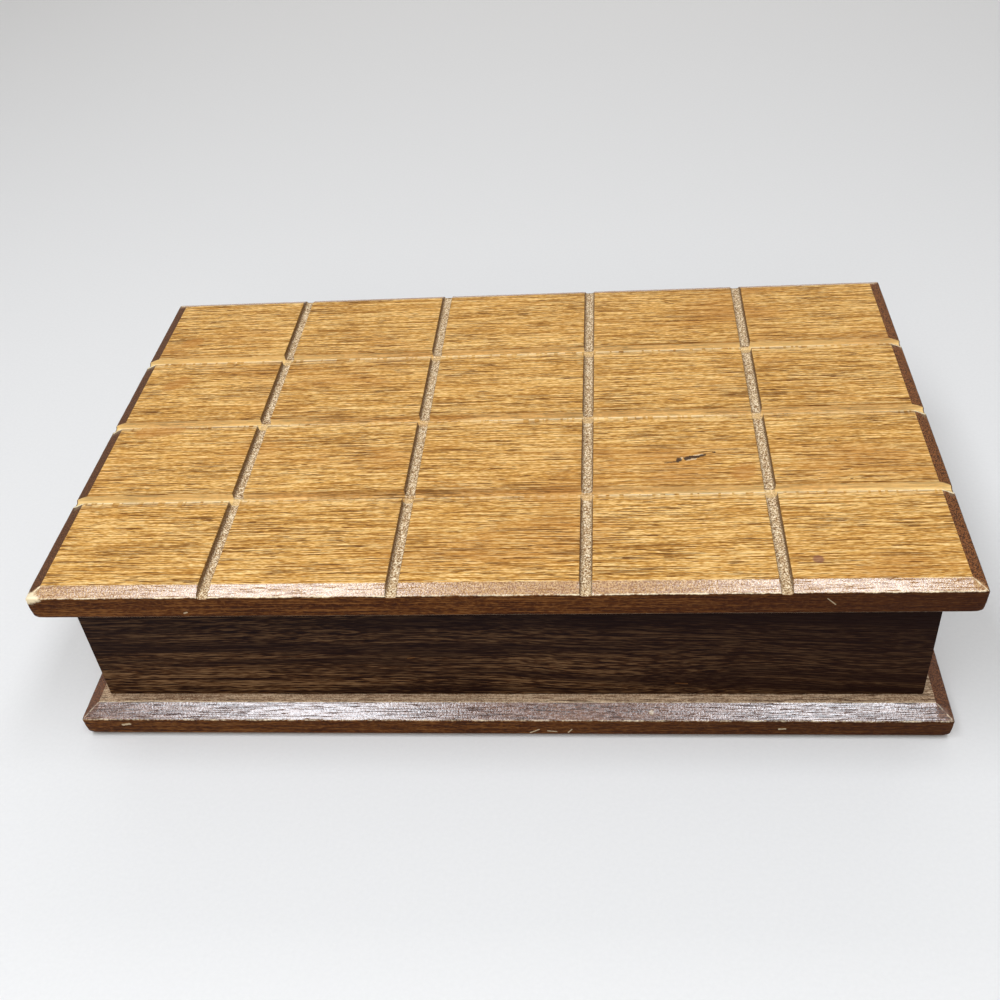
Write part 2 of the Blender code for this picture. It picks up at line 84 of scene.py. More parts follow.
# The lid's knocked front left corner: its reach, its stretch along X, Y and Z, and its push
KNOCK_REACH = 0.0036
KNOCK_STRETCH = (0.5, 0.9, 1.6)
KNOCK_PUSH = (0.0002, 0.0004, -0.0003)
SCUFF_REACH = 0.0024
# The ring rolls' cover: its size against its room, and how far it is pressed out to its limits
ROLL_SHARE = (0.97, 0.86, 0.88)
ROLL_PRESS = 1.15
# A hinge screw's head from the top down, as shares of its radius: (radius, depth)
SCREW_HEAD = ((0.55, 0.0), (0.88, 0.035), (0.98, 0.09), (1.0, 0.15), (0.5, 0.62), (0.42, 0.72))
SCREW_CORE = 0.42
SCREW_CREST = 0.49
SCREW_PITCH = 0.42
THREAD_START = 0.95
# The first screw's slot, and how much further each next one is turned
SLOT_TURN = 0.7
SLOT_STEP = 1.9
# The floor's half size, and where it starts and ends to fade into the pale background
FLOOR_REACH = 2.2
FADE_START = 1.0
FADE_END = 2.1

# Marks on the wood, as strokes: (middle, half length, half width, angle), seen from above on
# the boards' tops and from the front on their sides and the front wall
LID_TORN = (
    ((0.0626, -0.0272), 0.0003, 0.0005, 1.0),
    ((0.0660, -0.0278), 0.0016, 0.0004, 0.2),
    ((0.0686, -0.0254), 0.0014, 0.0004, 0.2),
)
LID_INK = (
    ((0.0618, -0.0279), 0.0004, 0.0010, 1.1),
    ((0.0649, -0.0271), 0.0009, 0.0009, 0.5),
    ((0.0672, -0.0265), 0.0011, 0.0008, 0.1),
    ((0.0698, -0.0257), 0.0010, 0.0006, 0.3),
    ((0.0592, -0.0292), 0.0024, 0.0002, 0.12),
    ((0.0739, -0.0240), 0.0003, 0.0003, 0.0),
    ((0.1159, -0.0187), 0.0002, 0.00025, 0.0),
    ((0.1135, -0.0203), 0.0002, 0.00022, 0.0),
    ((0.1180, -0.0396), 0.0003, 0.00025, 0.0),
)
LID_SPOT = (((0.1017, -0.0785), 0.0001, 0.0017, 0.0),)
LID_SMUDGES = (
    ((0.0834, -0.0350), 0.0010, 0.0040, 0.9),
    ((-0.1348, 0.0572), 0.0020, 0.0030, 0.4),
    ((-0.1326, 0.0270), 0.0030, 0.0032, 0.7),
    ((-0.1300, -0.0040), 0.0060, 0.0036, 0.2),
)
LID_NICKS = (
    ((-0.0979, 0.0626), 0.0005, 0.0003, 0.3),
    ((0.1043, 0.0656), 0.0018, 0.00018, -0.79),
)
BASE_NICKS = (
    ((-0.1341, 0.0066), 0.0013, 0.0005, 0.12),
    ((0.0943, 0.0052), 0.0010, 0.0003, 0.10),
    ((0.0110, 0.0037), 0.0018, 0.00025, 0.5),
    ((0.0170, 0.0036), 0.0016, 0.0002, -0.15),
    ((0.0231, 0.0038), 0.0010, 0.0002, 0.9),
)
BASE_DOT = (((0.0508, -0.0889), 0.0001, 0.0007, 0.0),)
WALL_SCRATCHES = (
    ((-0.0298, 0.0310), 0.0012, 0.00025, 0.2),
    ((-0.0960, 0.0265), 0.0060, 0.0001, 0.12),
    ((0.0610, 0.0180), 0.0020, 0.0002, -0.05),
)


def length(name, description, default):
    """A size that a user may change, in metres."""
    return FloatProperty(name=name, description=description, default=default, min=0.0,
                         precision=5, subtype='DISTANCE', unit='LENGTH')


def coordinate(name, description, default):
    """A place along one axis that a user may change, in metres."""
    return FloatProperty(name=name, description=description, default=default,
                         subtype='DISTANCE', unit='LENGTH')


def position(name, description, default):
    """A point that a user may change, in metres."""
    return FloatVectorProperty(name=name, description=description, default=default, size=3,
                               subtype='TRANSLATION')


def rotation(name, description, default):
    """A turn that a user may change, in radians."""
    return FloatProperty(name=name, description=description, default=default, subtype='ANGLE',
                         unit='ROTATION')


def amount(name, description, default):
    """A plain number that a user may change."""
    return FloatProperty(name=name, description=description, default=default)


def whole_number(name, description, default, least):
    """A whole number that a user may change."""
    return IntProperty(name=name, description=description, default=default, min=least)


def colour(name, description, default):
    """A linear red, green and blue colour that a user may change."""
    return FloatVectorProperty(name=name, description=description, default=default, size=3,
                               min=0.0, max=1.0, subtype='COLOR')


def light_colour(name, description, default):
    """A light's tint that a user may change, where a channel may pass 1."""
    return FloatVectorProperty(name=name, description=description, default=default, size=3,
                               subtype='COLOR')


class BoxSizes(bpy.types.PropertyGroup):
    """Sizes of the boards, felt pieces and screws, and how finely they are modelled"""
    lid_chamfer_width: length("Lid chamfer width", "Across the lid's chamfer, level", 0.0045)
    lid_chamfer_drop: length("Lid chamfer drop", "Height of the lid's chamfer", 0.0019)
    end_column_width: length("End column", "From the lid's end to the first groove", 0.05895)
    end_row_depth: length("End row", "From the lid's front to the first groove", 0.0477)
    column_count: whole_number("Columns", "Tiles along the lid", 5, 2)
    row_count: whole_number("Rows", "Tiles across the lid", 4, 2)
    groove_width: length("Groove width", "Across each groove at the top face", 0.0047)
    column_groove_depth: length("Column groove depth", "Grooves front to back", 0.0026)
    row_groove_depth: length("Row groove depth", "Grooves left to right", 0.0029)
    groove_arris: length("Groove arris", "Rounding of the tiles' edges", 0.0004)
    groove_floor_radius: length("Groove floor radius", "Rounding at a groove's floor", 0.0009)
    base_chamfer_width: length("Base chamfer width", "Across the base's chamfer, level", 0.0056)
    base_chamfer_drop: length("Base chamfer drop", "Height of the base's chamfer", 0.0034)
    lower_rounding: length("Lower rounding", "Rounding of the boards' lower edges", 0.0014)
    arris: length("Arris", "Rounding of the boards' upper edges", 0.0004)
    brow_arris: length("Brow arris", "Rounding where the chamfers meet the top faces", 0.00022)
    corner_zone: length("Corner zone", "How far a worn corner reaches", 0.0045)
    wall_arris: length("Wall arris", "Rounding of the walls' edges", 0.00025)
    board_step: length("Board step", "Spacing of the boards' mesh lines", 0.0026)
    felt_step: length("Felt step", "Spacing of the felt pieces' mesh lines", 0.003)
    card_rounding: length("Card rounding", "Rounding of the felt-covered cards", 0.0007)
    felt_ripple: length("Felt ripple", "Unevenness of the felt pieces", 0.00015)
    leaf_thickness: length("Leaf thickness", "Plate of a hinge leaf", 0.001)
    seat_gap: length("Seat gap", "Clearance round what is let into the wood", 0.0003)
    metal_arris: length("Metal arris", "Rounding of the hinges' edges", 0.00012)
    ring_rolls: whole_number("Ring rolls", "Rolls of the ring cushion", 4, 1)
    cloth_scale: amount("Cloth scale", "How much larger the rolls are in the cloth solver", 10.0)
    cloth_voxel: length("Cloth voxel", "Spacing of the rolls' mesh", 0.0012)
    cloth_frames: whole_number("Cloth frames", "Steps of the cloth solver", 16, 2)
    screw_slot_width: length("Screw slot width", "Slot in a hinge screw's head", 0.0005)
    screw_slot_depth: length("Screw slot depth", "Slot in a hinge screw's head", 0.0004)


class BoxColours(bpy.types.PropertyGroup):
    """Colours of the wood, felt, metal and floor"""
    honey: colour("Honey wood", "The lid's own colour", (0.65, 0.342, 0.084))
    honey_light: colour("Light honey", "The lid's pale streaks", (0.93, 0.628, 0.262))
    honey_dark: colour("Dark honey", "The lid's brown streaks", (0.37, 0.158, 0.029))
    honey_red: colour("Red honey", "The lid's redder zones", (0.47, 0.195, 0.042))
    honey_pore: colour("Honey pores", "Open pores in the lid", (0.125, 0.042, 0.008))
    chamfer_stain: colour("Chamfer stain", "The lid's front chamfer", (0.27, 0.115, 0.035))
    chamfer_pale: colour("Chamfer specks", "Pale specks in that chamfer", (0.55, 0.315, 0.125))
    # Partly painted shade: end grain that took more stain, darkened further as shade
    end_stain_and_shade: colour("End grain", "The lid's ends, which took more stain", (0.045, 0.015, 0.006))
    end_pale: colour("End grain specks", "Pale specks in the lid's ends", (0.250, 0.083, 0.022))
    # Painted shade on the cross grooves' walls and along the long grooves' far edges
    groove_wall_shade: colour("Groove walls", "Dark walls of the cross grooves", (0.105, 0.042, 0.013))
    groove_dark: colour("Groove grit", "Dark grit in the grooves", (0.18, 0.092, 0.042))
    groove_pale: colour("Groove floor", "Rough floors of the grooves", (0.56, 0.387, 0.212))
    groove_bright: colour("Groove specks", "Bright specks in the grooves", (0.98, 0.845, 0.61))
    # Partly painted light: the long grooves' pale floors, made paler still to lift the shade in
    # them
    row_floor_and_painted_light: colour("Row floor", "Smooth floors of the long grooves", (0.98, 0.74, 0.34))
    # Painted highlight: pale dashes along the near edges of the long grooves
    groove_edge_highlight: colour("Chips", "Fresh chips along the long grooves", (1.0, 0.86, 0.54))
    bare: colour("Bare wood", "Where the lacquer is worn off", (0.95, 0.79, 0.52))
    ink: colour("Scratch dirt", "Dirt in the deep scratch", (0.03, 0.022, 0.02))
    stain: colour("Spot", "The purple-brown spot", (0.22, 0.085, 0.06))
    edge: colour("Edge stain", "The boards' dark sides", (0.084, 0.024, 0.004))
    edge_light: colour("Light edge stain", "Pale streaks in the sides", (0.185, 0.072, 0.018))
    edge_dark: colour("Dark edge stain", "Dark streaks in the sides", (0.034, 0.009, 0.003))
    base: colour("Base wood", "The base board's own colour", (0.46, 0.30, 0.18))
    base_light: colour("Light base wood", "Pale grain in the base board", (0.68, 0.50, 0.33))
    base_dark: colour("Dark base wood", "Streaks in the base board", (0.22, 0.12, 0.065))
    base_red: colour("Red base wood", "The base board's chamfer", (0.135, 0.042, 0.018))
    base_pale: colour("Base specks", "Pale specks in that chamfer", (0.27, 0.118, 0.065))
    wall: colour("Wall wood", "The walls' own colour", (0.070, 0.028, 0.0095))
    wall_light: colour("Light wall streaks", "Pale streaks in the walls", (0.195, 0.104, 0.047))
    # Painted shade: the walls darkened towards the lid, where its overhang shades them
    wall_painted_shade: colour("Wall shade", "The walls towards the lid", (0.009, 0.0045, 0.0055))
    wall_dark: colour("Dark wall streaks", "Dark bands in the walls", (0.0135, 0.0045, 0.003))
    felt: colour("Lining felt", "Felt inside the box", (0.018, 0.095, 0.055))
    base_felt: colour("Base felt", "Felt under the box", (0.014, 0.06, 0.036))
    brass: colour("Brass", "Hinge leaves", (0.72, 0.50, 0.21))
    brass_dark: colour("Tarnish", "Tarnish on the brass", (0.30, 0.17, 0.06))
    steel: colour("Steel", "Screws and pins", (0.56, 0.56, 0.55))
    floor: colour("Floor", "The pale studio floor", (0.775, 0.757, 0.738))


class BoxStudio(bpy.types.PropertyGroup):
    """The camera, the light panels and the sky"""
    camera_place: position("Camera", "Where the camera stands", (0.0402, -0.3444, 0.3205))
    heading: rotation("Heading", "Turn of the camera about the vertical", 0.1306)
    tilt: rotation("Tilt", "Turn of the camera up from straight down", radians(50.17))
    roll: rotation("Roll", "Turn of the camera about its line of sight", -0.1004)
    lens: amount("Lens", "Focal length in mm on a 36 mm sensor", 41.70)
    panel_height: length("Panel height", "Of both light panels above the floor", 1.07)
    panel_length: length("Panel length", "Of both light panels, front to back", 1.10)
    left_panel_width: length("Left panel width", "Left to right", 0.33)
    right_panel_width: length("Right panel width", "Left to right", 0.25)
    left_panel_x: coordinate("Left panel", "Middle of the left panel, left to right", -0.392)
    right_panel_x: coordinate("Right panel", "Middle of the right panel, left to right", 0.31)
    panels_y: coordinate("Panels' place", "Middle of both panels, front to back", -0.40)
    panel_radiance: amount("Panel brightness", "Radiance of the panels", 6.9)
    panel_tint: light_colour("Panel tint", "Colour of the panels' light", (0.92, 0.975, 1.05))
    fill_place: position("Fill light", "Where the front light stands", (-0.10, -1.15, 0.85))
    fill_size: length("Fill light size", "Side of the square front light", 0.60)
    fill_radiance: amount("Fill brightness", "Radiance of the front light", 3.8)
    fill_tint: light_colour("Fill tint", "Colour of the front light", (1.0, 0.96, 0.88))
    back_place: position("Back light", "Where the back light hangs", (0.0, 1.05, 0.95))
    back_length: length("Back light length", "Left to right", 1.50)
    back_depth: length("Back light depth", "Front to back", 0.50)
    back_radiance: amount("Back brightness", "Radiance of the back light", 2.0)
    sky_light: amount("Sky light", "Even light from all round", 0.22)
    sky_shown: amount("Sky shown", "How pale the background shows", 0.72)


class Signal:
    """A shader socket that Python arithmetic adds Math nodes to."""

    def __init__(self, graph, socket):
        self.graph = graph
        self.socket = socket

    def __add__(self, other):
        return self.graph.maths('ADD', self, other)

    __radd__ = __add__

    def __sub__(self, other):
        return self.graph.maths('SUBTRACT', self, other)

    def __rsub__(self, other):
        return self.graph.maths('SUBTRACT', other, self)

    def __mul__(self, other):
        return self.graph.maths('MULTIPLY', self, other)

    __rmul__ = __mul__

    def __abs__(self):
        return self.graph.maths('ABSOLUTE', self)


class Graph:
    """A node tree, and the one way in which nodes are added to it."""

    def __init__(self, tree):
        self.tree = tree
        tree.nodes.clear()

    def add(self, kind, settings=None, inputs=None, output=0):
        """A node of one type: its settings are set first, then its sockets' values or links."""
        node = self.tree.nodes.new(kind)
        for name, value in (settings or {}).items():
            setattr(node, name, value)
        for key, value in (inputs or {}).items():
            if isinstance(value, Signal):
                self.tree.links.new(value.socket, node.inputs[key])
            else:
                node.inputs[key].default_value = value
        return Signal(self, node.outputs[output]) if node.outputs else None

    def maths(self, operation, *values):
        """The result of one operation on numbers or signals."""
        return self.add("ShaderNodeMath", {"operation": operation}, dict(enumerate(values)))

    def clamp(self, value):
        """The value kept from 0 to 1."""
        settings = {"operation": 'ADD', "use_clamp": True}
        return self.add("ShaderNodeMath", settings, {0: value, 1: 0.0})

    def vector(self, operation, *values, output=0):
        """The result of one operation on points."""
        return self.add("ShaderNodeVectorMath", {"operation": operation}, dict(enumerate(values)),
                        output)

    def shade(self, colour, tone):
        """A colour made brighter or darker by a signal."""
        return self.add("ShaderNodeVectorMath", {"operation": 'SCALE'}, {0: colour, 3: tone})

    def mix(self, factor, first, second):
        """Between two colours, each a signal or a red, green and blue."""
        first, second = (c if isinstance(c, Signal) else (*c, 1.0) for c in (first, second))
        return self.add("ShaderNodeMix", {"data_type": 'RGBA'}, {0: factor, 6: first, 7: second}, 2)

    def layers(self, colour, *coats):
        """A colour under coats, each a mask and the colour that it lays over what is below."""
        for mask, over in coats:
            colour = self.mix(mask, colour, over)
        return colour

    def between(self, value, low, high, start=0.0, end=1.0):
        """A smooth step from start to end as the value goes from low to high."""
        return self.add("ShaderNodeMapRange", {"interpolation_type": 'SMOOTHSTEP'},
                        {0: value, 1: low, 2: high, 3: start, 4: end})

    def noise(self, place, per_metre, detail=2.0, roughness=0.5, seed=0.0):
        """A noise from 0 to 1, with its features a metre: one number, or one for each axis."""
        if not isinstance(per_metre, tuple):
            per_metre = (per_metre,) * 3
        where = self.vector('MULTIPLY_ADD', place, per_metre, (seed,) * 3)
        return self.add("ShaderNodeTexNoise", None,
                        {"Vector": where, "Scale": 1.0, "Detail": detail, "Roughness": roughness})

    def place(self):
        """The point on the piece, as it lies at rest."""
        return self.add("ShaderNodeTexCoord", output="Object")

    def split(self, place):
        """X, Y and Z of a point."""
        node = self.add("ShaderNodeSeparateXYZ", inputs={0: place}).socket.node
        return [Signal(self, socket) for socket in node.outputs]

    def join(self, x, y, z):
        """The point with these X, Y and Z."""
        return self.add("ShaderNodeCombineXYZ", inputs={0: x, 1: y, 2: z})

    def painted(self, *names):
        """Masks that the mesh carries."""
        return [self.add("ShaderNodeAttribute", {"attribute_name": name}, output="Fac")
                for name in names]

    def coated(self, base, roughness, height, **fixed):
        """A Principled BSDF, bumped by a height in metres."""
        bump = self.add("ShaderNodeBump", None, {"Height": height, "Distance": 1.0})
        inputs = {"Base Color": base, "Roughness": roughness, "Normal": bump}
        inputs.update({name.replace("_", " "): value for name, value in fixed.items()})
        return self.add("ShaderNodeBsdfPrincipled", None, inputs)

    def surface(self, shader):
        """Close the material."""
        self.add("ShaderNodeOutputMaterial", None, {"Surface": shader})

    def two_coats(self, gloss, dull, glossy):
        """Close a material that is dull where gloss is 0 and glossy where it is 1."""
        self.surface(self.add("ShaderNodeMixShader", None, {0: gloss, 1: dull, 2: glossy}))


def material_graph(name):
    """A new material and its empty graph."""
    material = bpy.data.materials.new(name)
    material.use_nodes = True
    return material, Graph(material.node_tree)


def stroke_mask(graph, across, up, middle, half_length, half_width, angle, ragged):
    """1 inside a stroke on a face with axes across and up, fading out at its ragged outline."""
    from_x = across - middle[0]
    from_y = up - middle[1]
    along = from_x * cos(angle) + from_y * sin(angle)
    aside = from_y * cos(angle) - from_x * sin(angle)
    beyond = graph.maths('MAXIMUM', abs(along) - half_length, 0.0)
    distance = graph.maths('SQRT', beyond * beyond + aside * aside) + ragged * half_width
    return graph.between(distance, half_width * 0.7, half_width * 1.2, 1.0, 0.0)


def strokes_mask(graph, across, up, marks, ragged):
    """All of a face's strokes in one mask."""
    total = 0.0
    for middle, half_length, half_width, angle in marks:
        mask = stroke_mask(graph, across, up, middle, half_length, half_width, angle, ragged)
        total = graph.maths('MAXIMUM', total, mask)
    return total


class Grain:
    """The figure of one board: ribbons, fibres, specks, dark lines and open pores along X."""

    def __init__(self, graph, place, seed, wave=0.005, stretch=1.0):
        self.graph = graph
        wander = graph.noise(place, (9, 18, 18), 1, 0.5, seed)
        shift = (wander - 0.5) * wave
        self.bent = graph.vector('ADD', place, graph.join(0.0, shift, shift))

        def streaks(along, across, detail, roughness, offset):
            per_metre = (along / stretch, across, across)
            return graph.noise(self.bent, per_metre, detail, roughness, seed + offset)

        self.ribbons = streaks(13, 1300, 2, 0.6, 23)
        self.fibres = streaks(58, 2600, 1, 0.5, 41)
        self.specks = streaks(480, 3100, 1, 0.5, 53)
        strands = streaks(52, 2500, 1, 0.5, 37)
        dashes = streaks(150, 2700, 1, 0.5, 61)
        crowding = graph.noise(self.bent, (20, 130, 130), 3, 0.6, seed + 71) - 0.5
        self.lines = graph.between(strands + crowding * 0.28, 0.59, 0.63)
        self.pores = graph.between(dashes + crowding * 0.2, 0.62, 0.66)

    def relief(self, pore_depth, line_depth, fibre_height):
        """Height of the surface in metres: pores and lines sink in, and fibres stand up."""
        sunk = self.pores * -pore_depth + self.lines * -line_depth
        return sunk + self.fibres * fibre_height

    def tones(self, dark, middle, light, strength=1.0):
        """From a dark through a middle to a light colour as the ribbons and fibres go."""
        tone = (self.ribbons - 0.5) * 1.5 + (self.fibres - 0.5) * 2.2 + (self.specks - 0.5) * 2.3
        tone = tone * strength
        between = self.graph.between
        return self.graph.layers(dark, (between(tone, -0.60, 0.05), middle),
                                 (between(tone, -0.05, 0.65), light))


def stained_side(graph, grain, coarse, colours, painted_shade):
    """The dark stain on a board's sides, with painted shade laid over it where a mask says."""
    return graph.layers(grain.tones(colours.edge_dark, colours.edge, colours.edge_light),
                        (grain.pores * 0.7, colours.edge_dark),
                        (graph.between(coarse, 0.52, 0.68) * 0.4, colours.edge_light),
                        (painted_shade, colours.edge_dark))


def worn_or_painted_highlight(graph, edge, coarse):
    """1 where an edge is worn to the bare wood or painted as a highlight, with a ragged border."""
    return graph.between(edge + (coarse - 0.5) * 0.55, 0.55, 0.80)


def honey_finish(colours):
    """The lid: honey lacquer on top, stained sides, pale rough grooves, worn edges, painted shade
    and highlights.
    """
    material, graph = material_graph("honey_lacquer")
    place = graph.place()
    x, y, z = graph.split(place)
    grain = Grain(graph, place, 3.0, 0.003)
    top, groove, row, groove_shade, edge, chamfer, end, near_edge_glint = graph.painted(
        "top", "groove", "row", "groove_shade", "edge", "chamfer", "end", "near_edge_glint")
    zones = graph.noise(grain.bent, (14, 36, 36), 3, 0.6, 14.0)
    grit = graph.noise(place, 2100, 1, 0.5)
    drift = graph.noise(place, 13, 1, 0.5, 91.0)
    coarse = graph.noise(place, 800, 3, 0.7, 5.0)

    speckled = graph.mix(graph.between(grit, 0.43, 0.58), colours.chamfer_stain,
                         colours.chamfer_pale)
    # Painted shade: fewer pale specks on the lid's left end, so that it reads darker than the right
    end_specks_with_painted_shade = graph.between(grit, 0.42, 0.60) * graph.between(x, -0.10, 0.10, 0.35, 1.0)
    cut_across = graph.mix(end_specks_with_painted_shade, colours.end_stain_and_shade, colours.end_pale)
    milled = graph.layers(colours.groove_dark,
                          (graph.between(grit, 0.37, 0.47), colours.groove_pale),
                          (graph.between(grit, 0.53, 0.64), colours.groove_bright))
    # Partly painted light: the long grooves' floors painted paler, which lifts the shade in them,
    # more so towards the lid's ends
    row_paleness_and_painted_light = graph.between(drift, 0.40, 0.58, 0.10, 0.38)
    row_paleness_and_painted_light = row_paleness_and_painted_light + graph.between(abs(x), 0.03, 0.12) * 0.30
    face = graph.layers(grain.tones(colours.honey_dark, colours.honey, colours.honey_light),
                        (graph.between(zones, 0.50, 0.74) * 0.55, colours.honey_red),
                        (grain.lines * 0.76, colours.honey_pore),
                        (grain.pores * 0.88, colours.honey_pore),
                        (chamfer * 0.90, speckled),
                        (chamfer * grain.pores * 0.5, colours.chamfer_stain),
                        (end * 0.95, cut_across),
                        (groove * 0.92, milled),
                        (row * row_paleness_and_painted_light * (1.0 - groove), colours.row_floor_and_painted_light),
                        # Painted shade: the grooves' walls and the long grooves' far edges darkened
                        (groove_shade * 0.80, colours.groove_wall_shade))
    # Painted shade: the lid's sides darker towards the right
    side = stained_side(graph, grain, coarse, colours, graph.between(x, 0.0, 0.15) * 0.65)

    # Bare wood where the edges are worn, and painted highlights on the lower edge, the groove
    # crossings and the long grooves' near edges
    worn = worn_or_painted_highlight(graph, edge, coarse)
    dashes = graph.between(graph.noise(place, (560, 40, 40), 1, 0.5, 17.0), 0.40, 0.48)
    # Painted highlight: pale dashes along the near edges of the long grooves
    chips = near_edge_glint * dashes * graph.between(drift, 0.38, 0.56, 0.35, 1.0)
    ragged = (coarse - 0.5) * 1.6
    torn = strokes_mask(graph, x, y, LID_TORN, ragged)
    ink = strokes_mask(graph, x, y, LID_INK, ragged * 1.6)
    spot = strokes_mask(graph, x, y, LID_SPOT, ragged * 0.3)
    smudges = strokes_mask(graph, x, y, LID_SMUDGES, ragged)
    nicks = strokes_mask(graph, x, z, LID_NICKS, ragged)
    front = graph.between(y, -0.0905, -0.0912)
    finish = graph.layers(graph.mix(top, side, face),
                          (worn * 0.85, colours.bare),
                          (graph.clamp(chips), colours.groove_edge_highlight),
                          (torn * top * 0.55, colours.bare),
                          (ink * top * 0.9, colours.ink),
                          (spot * top * 0.72, colours.stain),
                          (smudges * top * 0.55, colours.honey_red),
                          (nicks * front * (1.0 - top) * 0.36, colours.bare))

    peel = graph.noise(place, 1350, 2, 0.6, 9.0)
    height = grain.relief(0.00005, 0.00002, 0.000016)
    satin = height + peel * 0.000012 + grit * groove * 0.0003
    roughness = 0.46 + grain.fibres * 0.10 + groove * 0.15
    dull = graph.coated(finish, roughness, satin, Specular_IOR_Level=0.05)
    sheen = 0.10 + graph.between(peel, 0.42, 0.60) * 0.16 + worn * 0.3
    glossy = graph.coated(finish, sheen, height + peel * 0.000058, IOR=1.9)
    flecked = graph.clamp(grain.pores + grain.lines * 0.3)
    gloss = graph.clamp(chamfer * (1.0 - end * 0.93) * (1.0 - flecked * 0.8))
    graph.two_coats(gloss, dull, glossy)
    return material


def base_finish(colours):
    """The base board: the same lacquer over a browner stain."""
    material, graph = material_graph("base_lacquer")
    place = graph.place()
    x, y, z = graph.split(place)
    grain = Grain(graph, place, 87.0)
    top, edge, chamfer, end = graph.painted("top", "edge", "chamfer", "end")
    grit = graph.noise(place, 1900, 3, 0.75)
    coarse = graph.noise(place, 800, 3, 0.7, 5.0)

    stained = grain.tones(colours.edge_dark, colours.base_red, colours.edge_light)
    stained = graph.mix(graph.between(grit, 0.48, 0.60) * 0.8, stained, colours.base_pale)
    # Partly painted shade: the base's ends as dark as the lid's
    cut_across = graph.mix(graph.between(grit, 0.42, 0.60), colours.end_stain_and_shade, colours.end_pale)
    face = graph.layers(grain.tones(colours.base_dark, colours.base, colours.base_light),
                        (graph.between(grit, 0.50, 0.60) * 0.75, colours.base_light),
                        (graph.between(grit, 0.50, 0.40) * 0.6, colours.base_dark),
                        (chamfer, stained),
                        (end * 0.85, cut_across),
                        (grain.lines * 0.5, colours.edge_dark),
                        (grain.pores * 0.7, colours.edge_dark))
    # Painted shade: the base's sides darker towards the right
    side = stained_side(graph, grain, coarse, colours, graph.between(x, -0.05, 0.15) * 0.55)

    # Bare wood where the edges are worn, and a painted highlight along the lower edge
    worn = worn_or_painted_highlight(graph, edge, coarse)
    nicks = strokes_mask(graph, x, z, BASE_NICKS, (coarse - 0.5) * 2.4)
    front = graph.between(y, -0.0885, -0.0895)
    dot = strokes_mask(graph, x, y, BASE_DOT, coarse - 0.5)
    finish = graph.layers(graph.mix(top, side, face),
                          (worn * 0.75, colours.bare),
                          (nicks * front * (1.0 - top) * 0.5, colours.bare),
                          (dot * top * 0.4, colours.bare))

    peel = graph.noise(place, 1250, 2, 0.6, 9.0)
    height = grain.relief(0.00005, 0.00003, 0.000015)
    dull = graph.coated(finish, 0.42 + grain.fibres * 0.10, height + peel * 0.000012,
                        Specular_IOR_Level=0.05)
    sheen = 0.09 + graph.between(peel, 0.42, 0.60) * 0.18 + worn * 0.3
    glossy = graph.coated(finish, sheen, height + peel * 0.000062, IOR=2.1)
    flecked = graph.clamp(grain.pores + grain.lines * 0.4)
    gloss = graph.clamp(chamfer * (1.0 - end * 0.88) * (1.0 - flecked * 0.7))
    graph.two_coats(gloss, dull, glossy)
    return material


def wall_finish(colours, name, grain_along_y):
    """A wall: very dark stained wood with pale, gently wandering streaks, and painted shade up by
    the lid and towards the right.
    """
    material, graph = material_graph(name)
    place = graph.place()
    x, y, z = graph.split(place)
    lean = graph.maths('MAXIMUM', x, 0.0) * 0.05
    lengthwise = graph.join(y, x, z) if grain_along_y else graph.join(x, y, z + lean)
    grain = Grain(graph, lengthwise, 141.0, 0.012, 2.2)
    coarse = graph.noise(place, 900, 3, 0.7, 5.0)
    bands = graph.noise(grain.bent, (8, 150, 150), 2, 0.5, 77.0)
    scratches = strokes_mask(graph, x, z, WALL_SCRATCHES, (coarse - 0.5) * 1.2)
    front = graph.between(y, -0.0800, -0.0815)
    streaked = grain.tones(colours.wall_dark, colours.wall, colours.wall_light, 1.5)
    face = graph.layers(streaked,
                        (graph.between(bands, 0.44, 0.60) * 0.70, colours.wall_dark),
                        (grain.lines * 0.6, colours.wall_dark),
                        (grain.pores * 0.6, colours.wall_dark),
                        # Painted shade: the walls darker towards the top, under the lid's overhang
                        (graph.between(z, 0.018, 0.054) * 0.68, colours.wall_painted_shade),
                        # Painted shade: the walls darker towards the right side
                        (graph.between(x, -0.02, 0.14) * 0.68, colours.wall_dark),
                        (scratches * front * 0.6, colours.edge_light))
    height = grain.relief(0.00008, 0.00004, 0.00002)
    roughness = 0.46 + grain.fibres * 0.16
    graph.surface(graph.coated(face, roughness, height, Specular_IOR_Level=0.035))
    return material


def felt_finish(name, pile):
    """Pressed felt: matted fibres, small nap shadows and a soft sheen."""
    material, graph = material_graph(name)
    place = graph.place()
    clumps = graph.noise(place, 420, 3, 0.6)
    hairs = graph.noise(place, 3200, 3, 0.75, 7.0)
    patches = graph.noise(place, 45, 2, 0.5, 13.0)
    tone = 0.45 + hairs * 0.75 + (clumps - 0.5) * 0.5 + (patches - 0.5) * 0.5
    height = hairs * 0.00014 + clumps * 0.00016
    graph.surface(graph.coated(graph.shade(pile, tone), 0.95, height, Specular_IOR_Level=0.1,
                               Sheen_Weight=0.18, Sheen_Roughness=0.45))
    return material


def brass_finish(colours):
    """Rolled brass: fine brushing along the leaf and brown tarnish in patches."""
    material, graph = material_graph("brass")
    place = graph.place()
    brushing = graph.noise(place, (90, 5200, 5200), 2, 0.6)
    tarnish = graph.noise(place, 260, 4, 0.65, 5.0)
    tarnished = graph.between(tarnish, 0.48, 0.70)
    base = graph.mix(tarnished * 0.7, colours.brass, colours.brass_dark)
    roughness = 0.24 + brushing * 0.16 + tarnished * 0.2
    graph.surface(graph.coated(base, roughness, brushing * 0.000012, Metallic=1.0))
    return material


